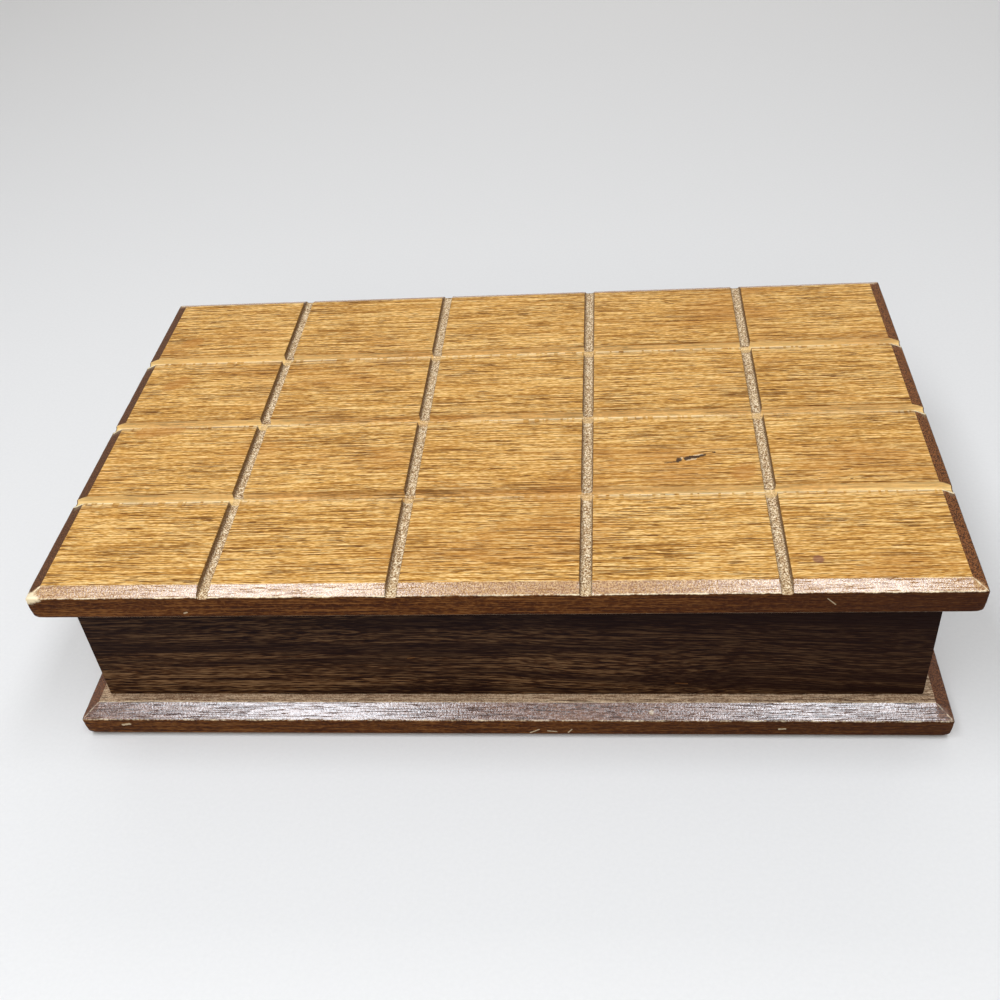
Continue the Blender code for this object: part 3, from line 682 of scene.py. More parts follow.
def steel_finish(colours):
    """Plated steel with turning marks."""
    material, graph = material_graph("steel")
    place = graph.place()
    grain = graph.noise(place, 3000, 3, 0.6)
    dulling = graph.noise(place, 500, 2, 0.5, 3.0)
    base = graph.shade(colours.steel, 0.75 + dulling * 0.35)
    graph.surface(graph.coated(base, 0.25 + grain * 0.2, grain * 0.000006, Metallic=1.0))
    return material


def finish_of(name, make, *details):
    """A material that several pieces share, made when the first of them needs it."""
    return bpy.data.materials.get(name) or make(*details)


def lining_pile(colours):
    """The felt of everything inside the box."""
    return finish_of("lining_felt_pile", felt_finish, "lining_felt_pile", colours.felt)


def mesh_lines(half, insets, extra, step):
    """A board's mesh lines along one axis: at its edges and grooves, and evenly between them."""
    keys = {round(sign * (half - inset), 7) for inset in insets for sign in (-1, 1)}
    keys = sorted(keys | {round(place, 7) for place in extra})
    lines = keys[:1]
    for low, high in zip(keys, keys[1:]):
        count = ceil((high - low) / step)
        lines += [low + (high - low) * part / count for part in range(1, count + 1)]
    return np.array(lines)


def groove_lines(half, end_tile, tiles):
    """Middles of the grooves between the tiles along one axis, from the end tiles' size."""
    span = 2 * (half - end_tile)
    return np.linspace(-span / 2, span / 2, tiles - 1)


def groove_section(width, depth, arris, floor_radius):
    """Half a groove's section, from its middle out, as offsets and depths."""
    turns = [0, pi / 6, pi / 3, pi / 2]
    floor_half = width / 2 - arris * 1.2 - floor_radius
    points = [(0, depth), (floor_half / 2, depth)]
    points += [(floor_half + floor_radius * sin(turn), depth - floor_radius * (1 - cos(turn)))
               for turn in turns]
    points += [(width / 2 - arris * cos(turn), arris * (1 - sin(turn))) for turn in turns]
    return np.array(points).T


def inset_of(half_x, half_y, x, y):
    """How far a place is in from a board's nearest side."""
    return np.minimum(half_x - np.abs(x), half_y - np.abs(y))


def chamfer_depth(inset, width, drop, fillet):
    """Depth of a chamfered face at an inset from the rim, with its inner edge eased."""
    slope = drop / width
    eased = slope * (width + fillet - inset) ** 2 / (4 * fillet)
    depth = np.where(inset < width - fillet, slope * (width - inset), eased)
    return np.where(inset > width + fillet, 0.0, depth)


def unevenness(points, per_metre, seed):
    """Smooth noise between -1 and 1 at each point."""
    offset = Vector((seed, seed, seed))
    return np.array([noise.noise(Vector(point) * per_metre + offset) for point in points])


def round_corners(points, half_x, half_y, zone, power):
    """Ease the upright corners of a board: a low power rounds them more."""
    part_x = np.clip(1 - (half_x - np.abs(points[:, 0])) / zone, 0, None)
    part_y = np.clip(1 - (half_y - np.abs(points[:, 1])) / zone, 0, None)
    inside = (part_x > 0) & (part_y > 0)
    largest = np.maximum(part_x, part_y)
    summed = np.where(inside, part_x ** power + part_y ** power, 1.0) ** (1 / power)
    share = np.where(inside, largest / summed, 1.0)
    for axis, half, part in ((0, half_x, part_x), (1, half_y, part_y)):
        eased = half - zone * (1 - part * share)
        points[:, axis] = np.where(inside, np.sign(points[:, axis]) * eased, points[:, axis])


class Slab:
    """A closed board lying level, with its top face at height 0 and its middle at the origin.

    Its top is a sheet of quads whose depth is given at each crossing of the mesh lines. Rings of
    (inset, depth) follow the sheet's rim down the sides to the flat underside.
    """

    LEAST_RING_STEP = MILLIMETRE / 30
    FLAT_ENOUGH = MILLIMETRE / 500

    def __init__(self, xs, ys, half_x, half_y, depth_at, rings, corner_zone, corner_powers):
        self.half_x = half_x
        self.half_y = half_y
        x, y = np.meshgrid(xs, ys, indexing='ij')
        depth = depth_at(x, y)
        sheet = np.stack([x, y, -depth], axis=-1).reshape(-1, 3)
        index = np.arange(len(xs) * len(ys)).reshape(len(xs), len(ys))
        rim = np.concatenate([index[:, 0], index[-1, 1:], index[-2::-1, -1], index[0, -2:0:-1]])
        layers = [sheet]
        loops = [rim.tolist()]
        made = len(sheet)
        for count, (inset, ring_depth) in enumerate(rings, 1):
            ring = sheet[rim].copy()
            for axis, half in ((0, half_x), (1, half_y)):
                reach = np.abs(ring[:, axis])
                outer = reach.max()
                share = np.clip((reach - half + corner_zone) / (outer - half + corner_zone), 0, 1)
                ring[:, axis] = np.sign(ring[:, axis]) * (reach + share * (half - inset - outer))
            ring[:, 2] = np.minimum(-ring_depth, ring[:, 2] - count * self.LEAST_RING_STEP)
            layers.append(ring)
            loops.append(list(range(made, made + len(ring))))
            made += len(ring)
        self.points = np.concatenate(layers)
        self.on_sheet = np.arange(made) < len(sheet)
        thickness = rings[-1][1]
        share = np.clip(-self.points[:, 2] / thickness, 0, 1)
        round_corners(self.points, half_x, half_y, corner_zone,
                      corner_powers[0] + (corner_powers[1] - corner_powers[0]) * share)
        self.faces = self.sheet_faces(index) + self.side_faces(loops)

    def sheet_faces(self, index):
        """Quads of the top sheet, with each bent one split along its ridge."""
        faces = []
        height = self.points[:, 2]
        for i in range(index.shape[0] - 1):
            for j in range(index.shape[1] - 1):
                a, b, c, d = (int(index[i, j]), int(index[i + 1, j]), int(index[i + 1, j + 1]),
                              int(index[i, j + 1]))
                bend = height[a] + height[c] - height[b] - height[d]
                if abs(bend) < self.FLAT_ENOUGH:
                    faces.append((a, b, c, d))
                elif bend > 0:
                    faces += [(a, b, c), (a, c, d)]
                else:
                    faces += [(a, b, d), (b, c, d)]
        return faces

    def side_faces(self, loops):
        """Quads between each ring and the next, and one face under the last."""
        faces = []
        for upper, lower in zip(loops, loops[1:]):
            for k in range(len(upper)):
                after = (k + 1) % len(upper)
                faces.append((lower[k], lower[after], upper[after], upper[k]))
        return faces + [tuple(reversed(loops[-1]))]

    def piece(self, name, material, matrix, masks=None):
        """The slab as an object, with its masks painted on and its place in its mesh."""
        mesh = bpy.data.meshes.new(name)
        mesh.from_pydata(self.points.tolist(), [], self.faces)
        for mask, values in (masks or {}).items():
            painted = mesh.attributes.new(mask, 'FLOAT', 'POINT')
            painted.data.foreach_set("value", np.asarray(values, np.float32))
        return new_piece(name, mesh, material, matrix)


def new_piece(name, mesh, material, matrix=None):
    """An object at the origin, smooth but for its sharp edges."""
    if matrix is not None:
        mesh.transform(matrix)
    mesh.shade_smooth()
    mesh.set_sharp_from_angle(angle=radians(50))
    mesh.materials.append(material)
    piece = bpy.data.objects.new(name, mesh)
    bpy.context.scene.collection.objects.link(piece)
    return piece


def mesh_of(bm, name):
    """The mesh of a finished bmesh."""
    mesh = bpy.data.meshes.new(name)
    bm.to_mesh(mesh)
    bm.free()
    return mesh


def weigh_normals(piece):
    """Let large flat faces keep their shade right up to their eased edges."""
    modifier = piece.modifiers.new("even_shade", 'WEIGHTED_NORMAL')
    modifier.keep_sharp = True
    modifier.weight = 80


def block(low, high):
    """A block between two corners."""
    bm = bmesh.new()
    size = Vector(high) - Vector(low)
    place = Matrix.Translation((Vector(high) + Vector(low)) / 2)
    bmesh.ops.create_cube(bm, size=1.0, matrix=place @ Matrix.Diagonal((*size, 1.0)))
    return bm


def rod(radius, half_length, place, sides=32):
    """A rod along X."""
    bm = bmesh.new()
    turn = Matrix.Translation(place) @ Matrix.Rotation(pi / 2, 4, 'Y')
    bmesh.ops.create_cone(bm, cap_ends=True, segments=sides, radius1=radius, radius2=radius,
                          depth=2 * half_length, matrix=turn)
    return bm


def cut(piece, *cutters):
    """Take each cutter's space out of the piece for good."""
    guides = []
    for cutter in cutters:
        guide = bpy.data.objects.new("cutter", mesh_of(cutter, "cutter"))
        bpy.context.scene.collection.objects.link(guide)
        guides.append(guide)
        boolean = piece.modifiers.new("cut", 'BOOLEAN')
        boolean.operation = 'DIFFERENCE'
        boolean.solver = 'EXACT'
        boolean.object = guide
    settle(piece)
    for guide in guides:
        bpy.data.objects.remove(guide, do_unlink=True)


def settle(piece):
    """Make the piece's modifiers part of its mesh."""
    bpy.context.view_layer.update()
    shaped = piece.evaluated_get(bpy.context.evaluated_depsgraph_get())
    mesh = bpy.data.meshes.new_from_object(shaped)
    piece.modifiers.clear()
    piece.data = mesh


def board_rings(sizes, thickness, chamfer_width, chamfer_drop):
    """A board's sides from its chamfer's outer edge down: eased above, well rounded below."""
    arris = sizes.arris
    slope = chamfer_drop / chamfer_width
    brow = chamfer_drop - arris * slope
    rings = [(arris * 0.5, brow + arris * 0.32), (arris * 0.14, brow + arris * 0.75),
             (0.0, brow + arris * 1.4)]
    radius = sizes.lower_rounding
    rings.append((0.0, (brow + thickness) / 2))
    for step in range(7):
        turn = pi / 2 * (1 - step / 6)
        rings.append((radius * (1 - sin(turn)), thickness - radius * (1 - cos(turn))))
    return rings


def edge_insets(sizes, chamfer_width):
    """Insets of the mesh lines from a board's side, over its rim and chamfer."""
    arris, brow = sizes.arris, sizes.brow_arris
    return [arris, arris * 2, chamfer_width / 2, chamfer_width - brow, chamfer_width - brow / 2,
            chamfer_width, chamfer_width + brow / 2, chamfer_width + brow,
            chamfer_width + brow * 3]


def near(distance, reach):
    """1 at distance 0, falling smoothly to about 0 at twice the reach."""
    return np.exp(-(np.asarray(distance) / reach) ** 2)


def chamfer_mask(sizes, inset, width):
    """1 on a board's chamfer, falling to 0 over its brow."""
    return np.clip((width - inset) / sizes.brow_arris, 0, 1)


def end_mask(slab, inset, width):
    """1 on the chamfers of a board's two ends, where the grain is cut across."""
    from_end = slab.half_x - np.abs(slab.points[:, 0])
    from_long_side = slab.half_y - np.abs(slab.points[:, 1])
    return (from_end < from_long_side - MILLIMETRE / 10) * (inset < width)


class EdgeWearAndHighlight:
    """Where a chamfered board wears, and where a highlight is painted along its lower edge, as a
    share at each of its points before they are moved.
    """

    def __init__(self, sizes, slab, width, drop, thickness, seeds):
        points, on_sheet = slab.points, slab.on_sheet
        depth = -points[:, 2]
        inset = inset_of(slab.half_x, slab.half_y, points[:, 0], points[:, 1])
        from_rim = np.where(on_sheet, inset - sizes.arris, np.maximum(depth - drop, 0.0))
        from_mitre = (slab.half_x - np.abs(points[:, 0])) - (slab.half_y - np.abs(points[:, 1]))
        self.depth = depth
        self.inset = inset
        self.bumps = unevenness(points, WEAR_BUMPS, seeds[0])
        self.chips = np.clip(unevenness(points, CHIP_BUMPS, seeds[1]) - 0.25, 0, 1) * 2
        self.rim = near(from_rim, WORN_LINE) * (depth < drop + 2 * sizes.arris)
        self.brow = near(inset - width, WORN_LINE) * on_sheet
        self.mitre = near(from_mitre, MITRE_LINE) * (inset < width) * on_sheet
        self.at_end = end_mask(slab, inset, width + MILLIMETRE)
        # Painted highlight: a pale line along the lower rounded edge, where it catches the light
        self.foot_highlight = near(depth - thickness + sizes.lower_rounding / 3, WORN_LINE)


def make_lid_board(sizes, colours):
    """The lid: a chamfered board with grooves both ways, worn edges and recesses for the hinges."""
    low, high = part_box("lid_board")
    half_x, half_y, thickness = high.x, high.y, high.z - low.z
    width, drop = sizes.lid_chamfer_width, sizes.lid_chamfer_drop
    groove_half, arris = sizes.groove_width / 2, sizes.groove_arris
    columns = groove_lines(half_x, sizes.end_column_width, sizes.column_count)
    rows = groove_lines(half_y, sizes.end_row_depth, sizes.row_count)
    column_section, row_section = (
        groove_section(sizes.groove_width, depth, arris, sizes.groove_floor_radius)
        for depth in (sizes.column_groove_depth, sizes.row_groove_depth))
    stations = [*column_section[0], groove_half + arris, 0.0]
    xs, ys = (
        mesh_lines(half, edge_insets(sizes, width),
                   [middle + side * s for middle in middles for s in stations for side in (-1, 1)],
                   sizes.board_step)
        for half, middles in ((half_x, columns), (half_y, rows)))

    def groove_offsets(x, y):
        """How far from the nearest groove front to back, and behind or before the nearest row."""
        to_column = np.abs(x[..., None] - columns).min(axis=-1)
        from_row = y[..., None] - rows
        nearest = np.abs(from_row).argmin(axis=-1)[..., None]
        return to_column, np.take_along_axis(from_row, nearest, axis=-1)[..., 0]

    def depth_at(x, y):
        to_column, from_row = groove_offsets(x, y)
        return np.maximum.reduce([
            np.interp(to_column, *column_section, right=0.0),
            np.interp(np.abs(from_row), *row_section, right=0.0),
            chamfer_depth(inset_of(half_x, half_y, x, y), width, drop, sizes.brow_arris),
        ])

    slab = Slab(xs, ys, half_x, half_y, depth_at, board_rings(sizes, thickness, width, drop),
                sizes.corner_zone, WORN_CORNERS)
    points, on_sheet = slab.points, slab.on_sheet
    worn = EdgeWearAndHighlight(sizes, slab, width, drop, thickness, (1.0, 31.0))
    to_column, from_row = groove_offsets(points[:, 0], points[:, 1])
    to_row = np.abs(from_row)
    at_surface = (worn.depth < arris * 2) * on_sheet
    # Painted highlight: a pale line along the near edge of each long groove, where its rounded edge
    # catches the light
    near_edge_highlight = near(from_row + groove_half, WORN_LINE) * on_sheet
    end_chips = near(from_row + groove_half, CHIPPED_LINE) * (worn.inset < width) * on_sheet
    rim_wear = (0.68 + 0.14 * worn.bumps) * (1 - 0.4 * worn.at_end)
    # Wear along the edges, with a painted highlight along each long groove's near edge
    edge = np.maximum.reduce([
        worn.rim * rim_wear,
        worn.brow * (1 - 0.25 * worn.at_end) * 0.66,
        worn.mitre * 0.75,
        near_edge_highlight * 0.60,
        near(to_column - groove_half, WORN_LINE) * at_surface * 0.45,
        end_chips * 0.9,
    ])
    points[:, 2] -= edge * (0.5 + 0.5 * worn.bumps) * LID_WEAR_DEPTH
    points[:, 2] -= (worn.rim + end_chips) * worn.chips * LID_CHIP_DEPTH

    corner = np.array([-half_x, -half_y, -drop])
    knock = near(np.linalg.norm((points - corner) * KNOCK_STRETCH, axis=1), KNOCK_REACH)
    points += (knock * (0.6 + 0.4 * worn.bumps))[:, None] * np.array(KNOCK_PUSH)
    lower_corner = np.array([-half_x + sizes.corner_zone / 3, -half_y, -thickness * 0.8])
    scuff = near(np.linalg.norm(points - lower_corner, axis=1), SCUFF_REACH)

    in_column = np.interp(to_column, column_section[0][[-5, -4]], (1.0, 0.0))
    in_row = np.interp(to_row, row_section[0][-5:-2], (1.0, 1.0, 0.0))
    # Painted shade: darker on the cross grooves' walls and along the long grooves' far edges
    column_wall_shade = np.interp(to_column, column_section[0][[-7, -6, -4, -2]], (0.0, 0.6, 1.0, 0.0),
                            right=0.0)
    far_edge_shade = near(from_row - groove_half, WORN_LINE)
    masks = {
        "top": on_sheet,
        "groove": in_column * (1 - in_row * 0.45) * on_sheet,
        "row": in_row * on_sheet,
        "near_edge_glint": near_edge_highlight * (1 - in_column),
        "groove_shade": np.maximum(column_wall_shade * (1 - in_row) * 0.9, far_edge_shade * 0.5) * on_sheet,
        # Wear, with painted highlights along the lower edge and where the grooves cross
        "edge": np.maximum.reduce([edge, knock * 1.05, scuff * 0.70, worn.foot_highlight * 0.80,
                                   # Painted highlight: pale blocks where the grooves cross
                                   in_column * in_row * on_sheet * 0.50]),
        "chamfer": (chamfer_mask(sizes, worn.inset, width) * (1 - in_column) * (1 - in_row)
                    * on_sheet),
        "end": end_mask(slab, worn.inset, width) * (1 - in_row) * on_sheet,
    }
    board = slab.piece("worn_lid_board", finish_of("honey_lacquer", honey_finish, colours),
                       Matrix.Translation((0, 0, high.z)), masks)
    for side in ("left", "right"):
        cut(board, *leaf_recess(sizes, f"hinge_{side}_lid_leaf", low.z))
    weigh_normals(board)
    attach(board, "lid")
    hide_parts("lid_board")


def leaf_recess(sizes, leaf, underside):
    """What to cut from the lid for a hinge leaf: its plate's recess and its knuckles' trough."""
    low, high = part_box(leaf)
    gap = sizes.seat_gap
    leaf_top = HINGE_LINE.z + gap / 2 + sizes.leaf_thickness + gap
    plate = block((low.x - gap, low.y - gap, underside - gap),
                  (high.x + gap, HINGE_LINE.y, leaf_top))
    middle = Vector(((low.x + high.x) / 2, HINGE_LINE.y, HINGE_LINE.z))
    trough = rod(high.z - HINGE_LINE.z + gap, (high.x - low.x) / 2 + gap, middle)
    return plate, trough


def make_base_board(sizes, colours):
    """The base: a board with a wide chamfer and worn edges."""
    low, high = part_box("base_board")
    half_x, half_y, thickness = high.x, high.y, high.z - low.z
    width, drop = sizes.base_chamfer_width, sizes.base_chamfer_drop

    def depth_at(x, y):
        return chamfer_depth(inset_of(half_x, half_y, x, y), width, drop, sizes.brow_arris)

    xs, ys = (mesh_lines(half, edge_insets(sizes, width), [], sizes.board_step)
              for half in (half_x, half_y))
    slab = Slab(xs, ys, half_x, half_y, depth_at, board_rings(sizes, thickness, width, drop),
                sizes.corner_zone, WORN_CORNERS)
    points, on_sheet = slab.points, slab.on_sheet
    worn = EdgeWearAndHighlight(sizes, slab, width, drop, thickness, (7.0, 57.0))
    edge = np.maximum.reduce([worn.rim * (0.64 + 0.14 * worn.bumps), worn.brow * 0.72,
                              worn.mitre * 0.68])
    edge = edge * (1 - 0.35 * worn.at_end)
    rubbed_off = edge * (0.5 + 0.5 * worn.bumps) * 0.6
    points[:, 2] -= (rubbed_off + worn.rim * worn.chips) * BASE_WEAR_DEPTH
    masks = {
        "top": on_sheet,
        # Wear, with a painted highlight along the lower edge
        "edge": np.maximum(edge, worn.foot_highlight * 0.80),
        "chamfer": chamfer_mask(sizes, worn.inset, width) * on_sheet,
        "end": end_mask(slab, worn.inset, width) * on_sheet,
    }
    board = slab.piece("worn_base_board", finish_of("base_lacquer", base_finish, colours),
                       Matrix.Translation((0, 0, high.z)), masks)
    weigh_normals(board)
    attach(board, "box")
    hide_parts("base_board")


def dress_solid(name, material, arris=0.0):
    """Give a solid of the frame its finish and eased edges."""
    solid = frame["nodes"][name]
    solid.data.materials.clear()
    solid.data.materials.append(material)
    if arris:
        bevel = solid.modifiers.new("eased_edges", 'BEVEL')
        bevel.width = arris
        bevel.segments = 2
        bevel.limit_method = 'ANGLE'
        bevel.angle_limit = radians(40)
        bevel.harden_normals = True


def dress_walls(sizes, colours):
    """The four walls, each with its grain along its length."""
    for name, along_y in (("wall_front", False), ("wall_back", False), ("wall_left", True),
                          ("wall_right", True)):
        material_name = "side_wall_stain" if along_y else "long_wall_stain"
        material = finish_of(material_name, wall_finish, colours, material_name, along_y)
        dress_solid(name, material, sizes.wall_arris)


def soften(bm, step, ripple, seed):
    """Cut a beveled solid along even planes, and let its surface waver inwards like felt."""
    low, high = bm_bounds(bm)
    for axis in range(3):
        count = ceil((high[axis] - low[axis]) / step)
        normal = Vector((0, 0, 0))
        normal[axis] = 1.0
        for part in range(1, count):
            middle = Vector(low)
            middle[axis] += (high[axis] - low[axis]) * part / count
            geometry = [*bm.verts, *bm.edges, *bm.faces]
            bmesh.ops.bisect_plane(bm, geom=geometry, plane_co=middle, plane_no=normal,
                                   dist=step / 100)
    bm.normal_update()
    shifts = [vertex.normal * ripple * 0.5 * (1 + noise.noise(vertex.co * 90 + Vector((seed,) * 3)))
              for vertex in bm.verts]
    for vertex, shift in zip(bm.verts, shifts):
        vertex.co -= shift


def bm_bounds(bm):
    """The lowest and highest corner of a bmesh."""
    places = np.array([vertex.co for vertex in bm.verts])
    return places.min(axis=0), places.max(axis=0)


def felt_over(node, body, sizes, colours):
    """Wrap one of the frame's cards in felt, with rounded edges and a faint ripple."""
    name = f"felt_{node}"
    bm = bmesh.new()
    bm.from_mesh(frame["nodes"][node].data)
    bmesh.ops.dissolve_limit(bm, angle_limit=radians(1), verts=bm.verts, edges=bm.edges)
    low, high = bm_bounds(bm)
    rounding = min(sizes.card_rounding, 0.35 * min(high - low))
    sharp = [edge for edge in bm.edges if edge.calc_face_angle(0) > radians(30)]
    bmesh.ops.bevel(bm, geom=sharp, offset=rounding, segments=3, profile=0.5, affect='EDGES')
    soften(bm, sizes.felt_step, sizes.felt_ripple, len(name))
    piece = new_piece(name, mesh_of(bm, name), lining_pile(colours))
    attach(piece, body)
    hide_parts(node)


def make_linings(sizes, colours):
    """Felt on the floor's card, under the lid and on the walls."""
    felt_over("floor_pad", "box", sizes, colours)
    felt_over("lid_lining", "lid", sizes, colours)
    for side in ("front", "back", "left", "right"):
        felt_over(f"lining_{side}", "box", sizes, colours)


def make_dividers(sizes, colours):
    """Felt on the dividers that lap where they cross."""
    for node in ("long_divider", "cross_divider_left", "cross_divider_right"):
        felt_over(node, "box", sizes, colours)


def roll_cage(half_x, half_y, half_z, scale):
    """A block with eased edges, drawn larger so that the cloth solver is steady."""
    bm = bmesh.new()
    size = Matrix.Diagonal((2 * half_x * scale, 2 * half_y * scale, 2 * half_z * scale, 1.0))
    bmesh.ops.create_cube(bm, size=1.0, matrix=size)
    bmesh.ops.bevel(bm, geom=bm.edges[:], offset=half_y * 0.55 * scale, segments=4, profile=0.5,
                    affect='EDGES')
    return mesh_of(bm, "roll")


def puff(piece, voxel, scale, frames):
    """Inflate a closed felt cover with the cloth solver, and keep the result as its mesh."""
    remesh = piece.modifiers.new("weave", 'REMESH')
    remesh.mode = 'VOXEL'
    remesh.voxel_size = voxel * scale
    settle(piece)
    cloth = piece.modifiers.new("cover", 'CLOTH')
    cloth.settings.use_pressure = True
    cloth.settings.uniform_pressure_force = 4.0
    cloth.settings.effector_weights.gravity = 0
    cloth.settings.quality = 6
    cloth.settings.mass = 0.3
    cloth.settings.tension_stiffness = 15
    cloth.settings.compression_stiffness = 15
    cloth.settings.bending_stiffness = 0.4
    cloth.settings.shrink_min = -0.06
    scene = bpy.context.scene
    start = scene.frame_current
    cloth.point_cache.frame_start = 1
    cloth.point_cache.frame_end = frames
    for frame_number in range(1, frames + 1):
        scene.frame_set(frame_number)
    settle(piece)
    scene.frame_set(start)


def make_ring_cushion(sizes, colours):
    """Four felt rolls side by side, each puffed up and pressed flat against its neighbours."""
    material = lining_pile(colours)
    low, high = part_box("ring_cushion")
    scale = sizes.cloth_scale
    gap = sizes.felt_ripple
    width = (high.y - low.y) / sizes.ring_rolls
    half = Vector((high.x - low.x, width, high.z - low.z)) / 2
    cage = [extent * share for extent, share in zip(half, ROLL_SHARE)]
    roll = new_piece("roll", roll_cage(*cage, scale), material)
    puff(roll, sizes.cloth_voxel, scale, sizes.cloth_frames)
    count = len(roll.data.vertices)
    places = np.empty(count * 3)
    roll.data.vertices.foreach_get("co", places)
    places = places.reshape(-1, 3) / scale
    limit = np.array((half.x, half.y - gap / 2, half.z))
    pressed = limit * np.tanh(np.abs(places) / limit * ROLL_PRESS) / np.tanh(ROLL_PRESS)
    places = np.clip(pressed * np.sign(places), -limit, limit)
    faces = [tuple(face.vertices) for face in roll.data.polygons]
    all_places = []
    all_faces = []
    for k in range(sizes.ring_rolls):
        middle = np.array(((low.x + high.x) / 2, low.y + width * (k + 0.5), (low.z + high.z) / 2))
        flip = k % 2
        all_places.append(places * (-1 if flip else 1, 1, 1) + middle)
        all_faces += [tuple(v + count * k for v in (reversed(face) if flip else face))
                      for face in faces]
    bpy.data.objects.remove(roll, do_unlink=True)
    mesh = bpy.data.meshes.new("felt_ring_rolls")
    mesh.from_pydata(np.concatenate(all_places).tolist(), [], all_faces)
    rolls = new_piece("felt_ring_rolls", mesh, material)
    smooth = rolls.modifiers.new("fine", 'SUBSURF')
    smooth.levels = 1
    smooth.render_levels = 1
    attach(rolls, "box")
    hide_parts("ring_cushion")


def make_base_felt(sizes, colours):
    """The felt sheet under the box: cut by hand, so its edge wavers a little."""
    low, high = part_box("base_felt")
    half_x, half_y, thickness = high.x, high.y, high.z - low.z
    soft = thickness * 0.3
    xs, ys = (mesh_lines(half, [0.0, soft, thickness], [], sizes.felt_step)
              for half in (half_x, half_y))

    def depth_at(x, y):
        return soft * np.clip(1 - inset_of(half_x, half_y, x, y) / soft, 0, 1) ** 2

    rings = [(0.0, thickness * 0.5), (0.0, thickness * 0.8), (soft, thickness)]
    slab = Slab(xs, ys, half_x, half_y, depth_at, rings, thickness * 3, (5.0, 5.0))
    waver = 1 + np.clip(unevenness(slab.points, 70, 3.0), -1, 0) * 0.0012
    slab.points[:, :2] *= waver[:, None]
    material = finish_of("base_felt_pile", felt_finish, "base_felt_pile", colours.base_felt)
    felt = slab.piece("felt_under_base", material, Matrix.Translation((0, 0, high.z)))
    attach(felt, "box")
    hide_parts("base_felt")


def turned_part(profile, sides):
    """A closed lathe-turned solid about Z, from (radius, height) points listed top to bottom."""
    bm = bmesh.new()
    rings = []
    for radius, height in profile:
        rings.append([bm.verts.new((radius * cos(2 * pi * k / sides),
                                    radius * sin(2 * pi * k / sides), height))
                      for k in range(sides)])
    for upper, lower in zip(rings, rings[1:]):
        for k in range(sides):
            after = (k + 1) % sides
            bm.faces.new((lower[k], lower[after], upper[after], upper[k]))
    bm.faces.new(rings[0])
    bm.faces.new(reversed(rings[-1]))
    return bm


def hinge_screw(node, body, slot_turn, sizes, material):
    """A slotted countersunk screw in place of the frame's plain one: head up in the box's leaf."""
    low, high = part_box(node)
    radius = (high.x - low.x) / 2
    length_down = high.z - low.z
    core = radius * SCREW_CORE
    pitch = radius * SCREW_PITCH
    profile = [(radius * share, -radius * down) for share, down in SCREW_HEAD]
    depth = radius * THREAD_START
    while depth < length_down - radius:
        profile += [(core, -depth), (radius * SCREW_CREST, -depth - pitch * 0.4),
                    (core, -depth - pitch * 0.8)]
        depth += pitch
    profile.append((core * 0.2, -length_down))
    name = f"slotted_{node}"
    screw = new_piece(name, mesh_of(turned_part(profile, 32), name), material)
    half_slot = sizes.screw_slot_width / 2
    cut(screw, block((-radius * 2, -half_slot, -sizes.screw_slot_depth),
                     (radius * 2, half_slot, radius)))
    head = Vector(((low.x + high.x) / 2, (low.y + high.y) / 2, high.z))
    turn = Matrix.Rotation(slot_turn, 4, 'Z')
    if body == "lid":
        head.z = low.z
        turn = Matrix.Rotation(pi, 4, 'X') @ turn
    screw.data.transform(Matrix.Translation(head) @ turn)
    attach(screw, body)
    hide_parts(node)


def make_hinges(sizes, colours):
    """Both hinges: brass leaves, steel pins and slotted screws, each slot turned another way."""
    brass = finish_of("brass", brass_finish, colours)
    steel = finish_of("steel", steel_finish, colours)
    for side, part in product(("left", "right"), ("box_leaf", "lid_leaf", "pin")):
        metal = steel if part == "pin" else brass
        dress_solid(f"hinge_{side}_{part}", metal, sizes.metal_arris)
    screws = product(("left", "right"), ("box", "lid"), (1, 2, 3))
    for count, (side, body, number) in enumerate(screws):
        hinge_screw(f"hinge_{side}_{body}_screw_{number}", body, SLOT_TURN + SLOT_STEP * count,
                    sizes, steel)


def make_base_screws(colours):
    """The screws that hold the base to the walls."""
    steel = finish_of("steel", steel_finish, colours)
    for number in range(1, 9):
        dress_solid(f"base_screw_{number}", steel)


def floor_finish(colours):
    """Matt studio paper with a faint tooth, which ends softly in the pale background."""
    material, graph = material_graph("studio_paper")
    place = graph.place()
    tooth = graph.noise(place, 700, 2, 0.6)
    base = graph.shade(colours.floor, 0.97 + tooth * 0.06)
    away = graph.vector('LENGTH', place, output="Value")
    graph.surface(graph.coated(base, 0.9, tooth * 0.00004, Specular_IOR_Level=0.2,
                               Alpha=graph.between(away, FADE_START, FADE_END, 1.0, 0.0)))
    return material


def light_panel(name, place, target, width, depth, radiance, tint):
    """A soft rectangular light that shines from its place towards a target."""
    light = bpy.data.lights.new(name, 'AREA')
    light.shape = 'RECTANGLE'
    light.size = width
    light.size_y = depth
    light.energy = radiance * pi * width * depth
    light.color = tint
    panel = bpy.data.objects.new(name, light)
    aim = (Vector(target) - Vector(place)).to_track_quat('-Z', 'Y')
    panel.matrix_world = Matrix.Translation(place) @ aim.to_matrix().to_4x4()
    bpy.context.scene.collection.objects.link(panel)


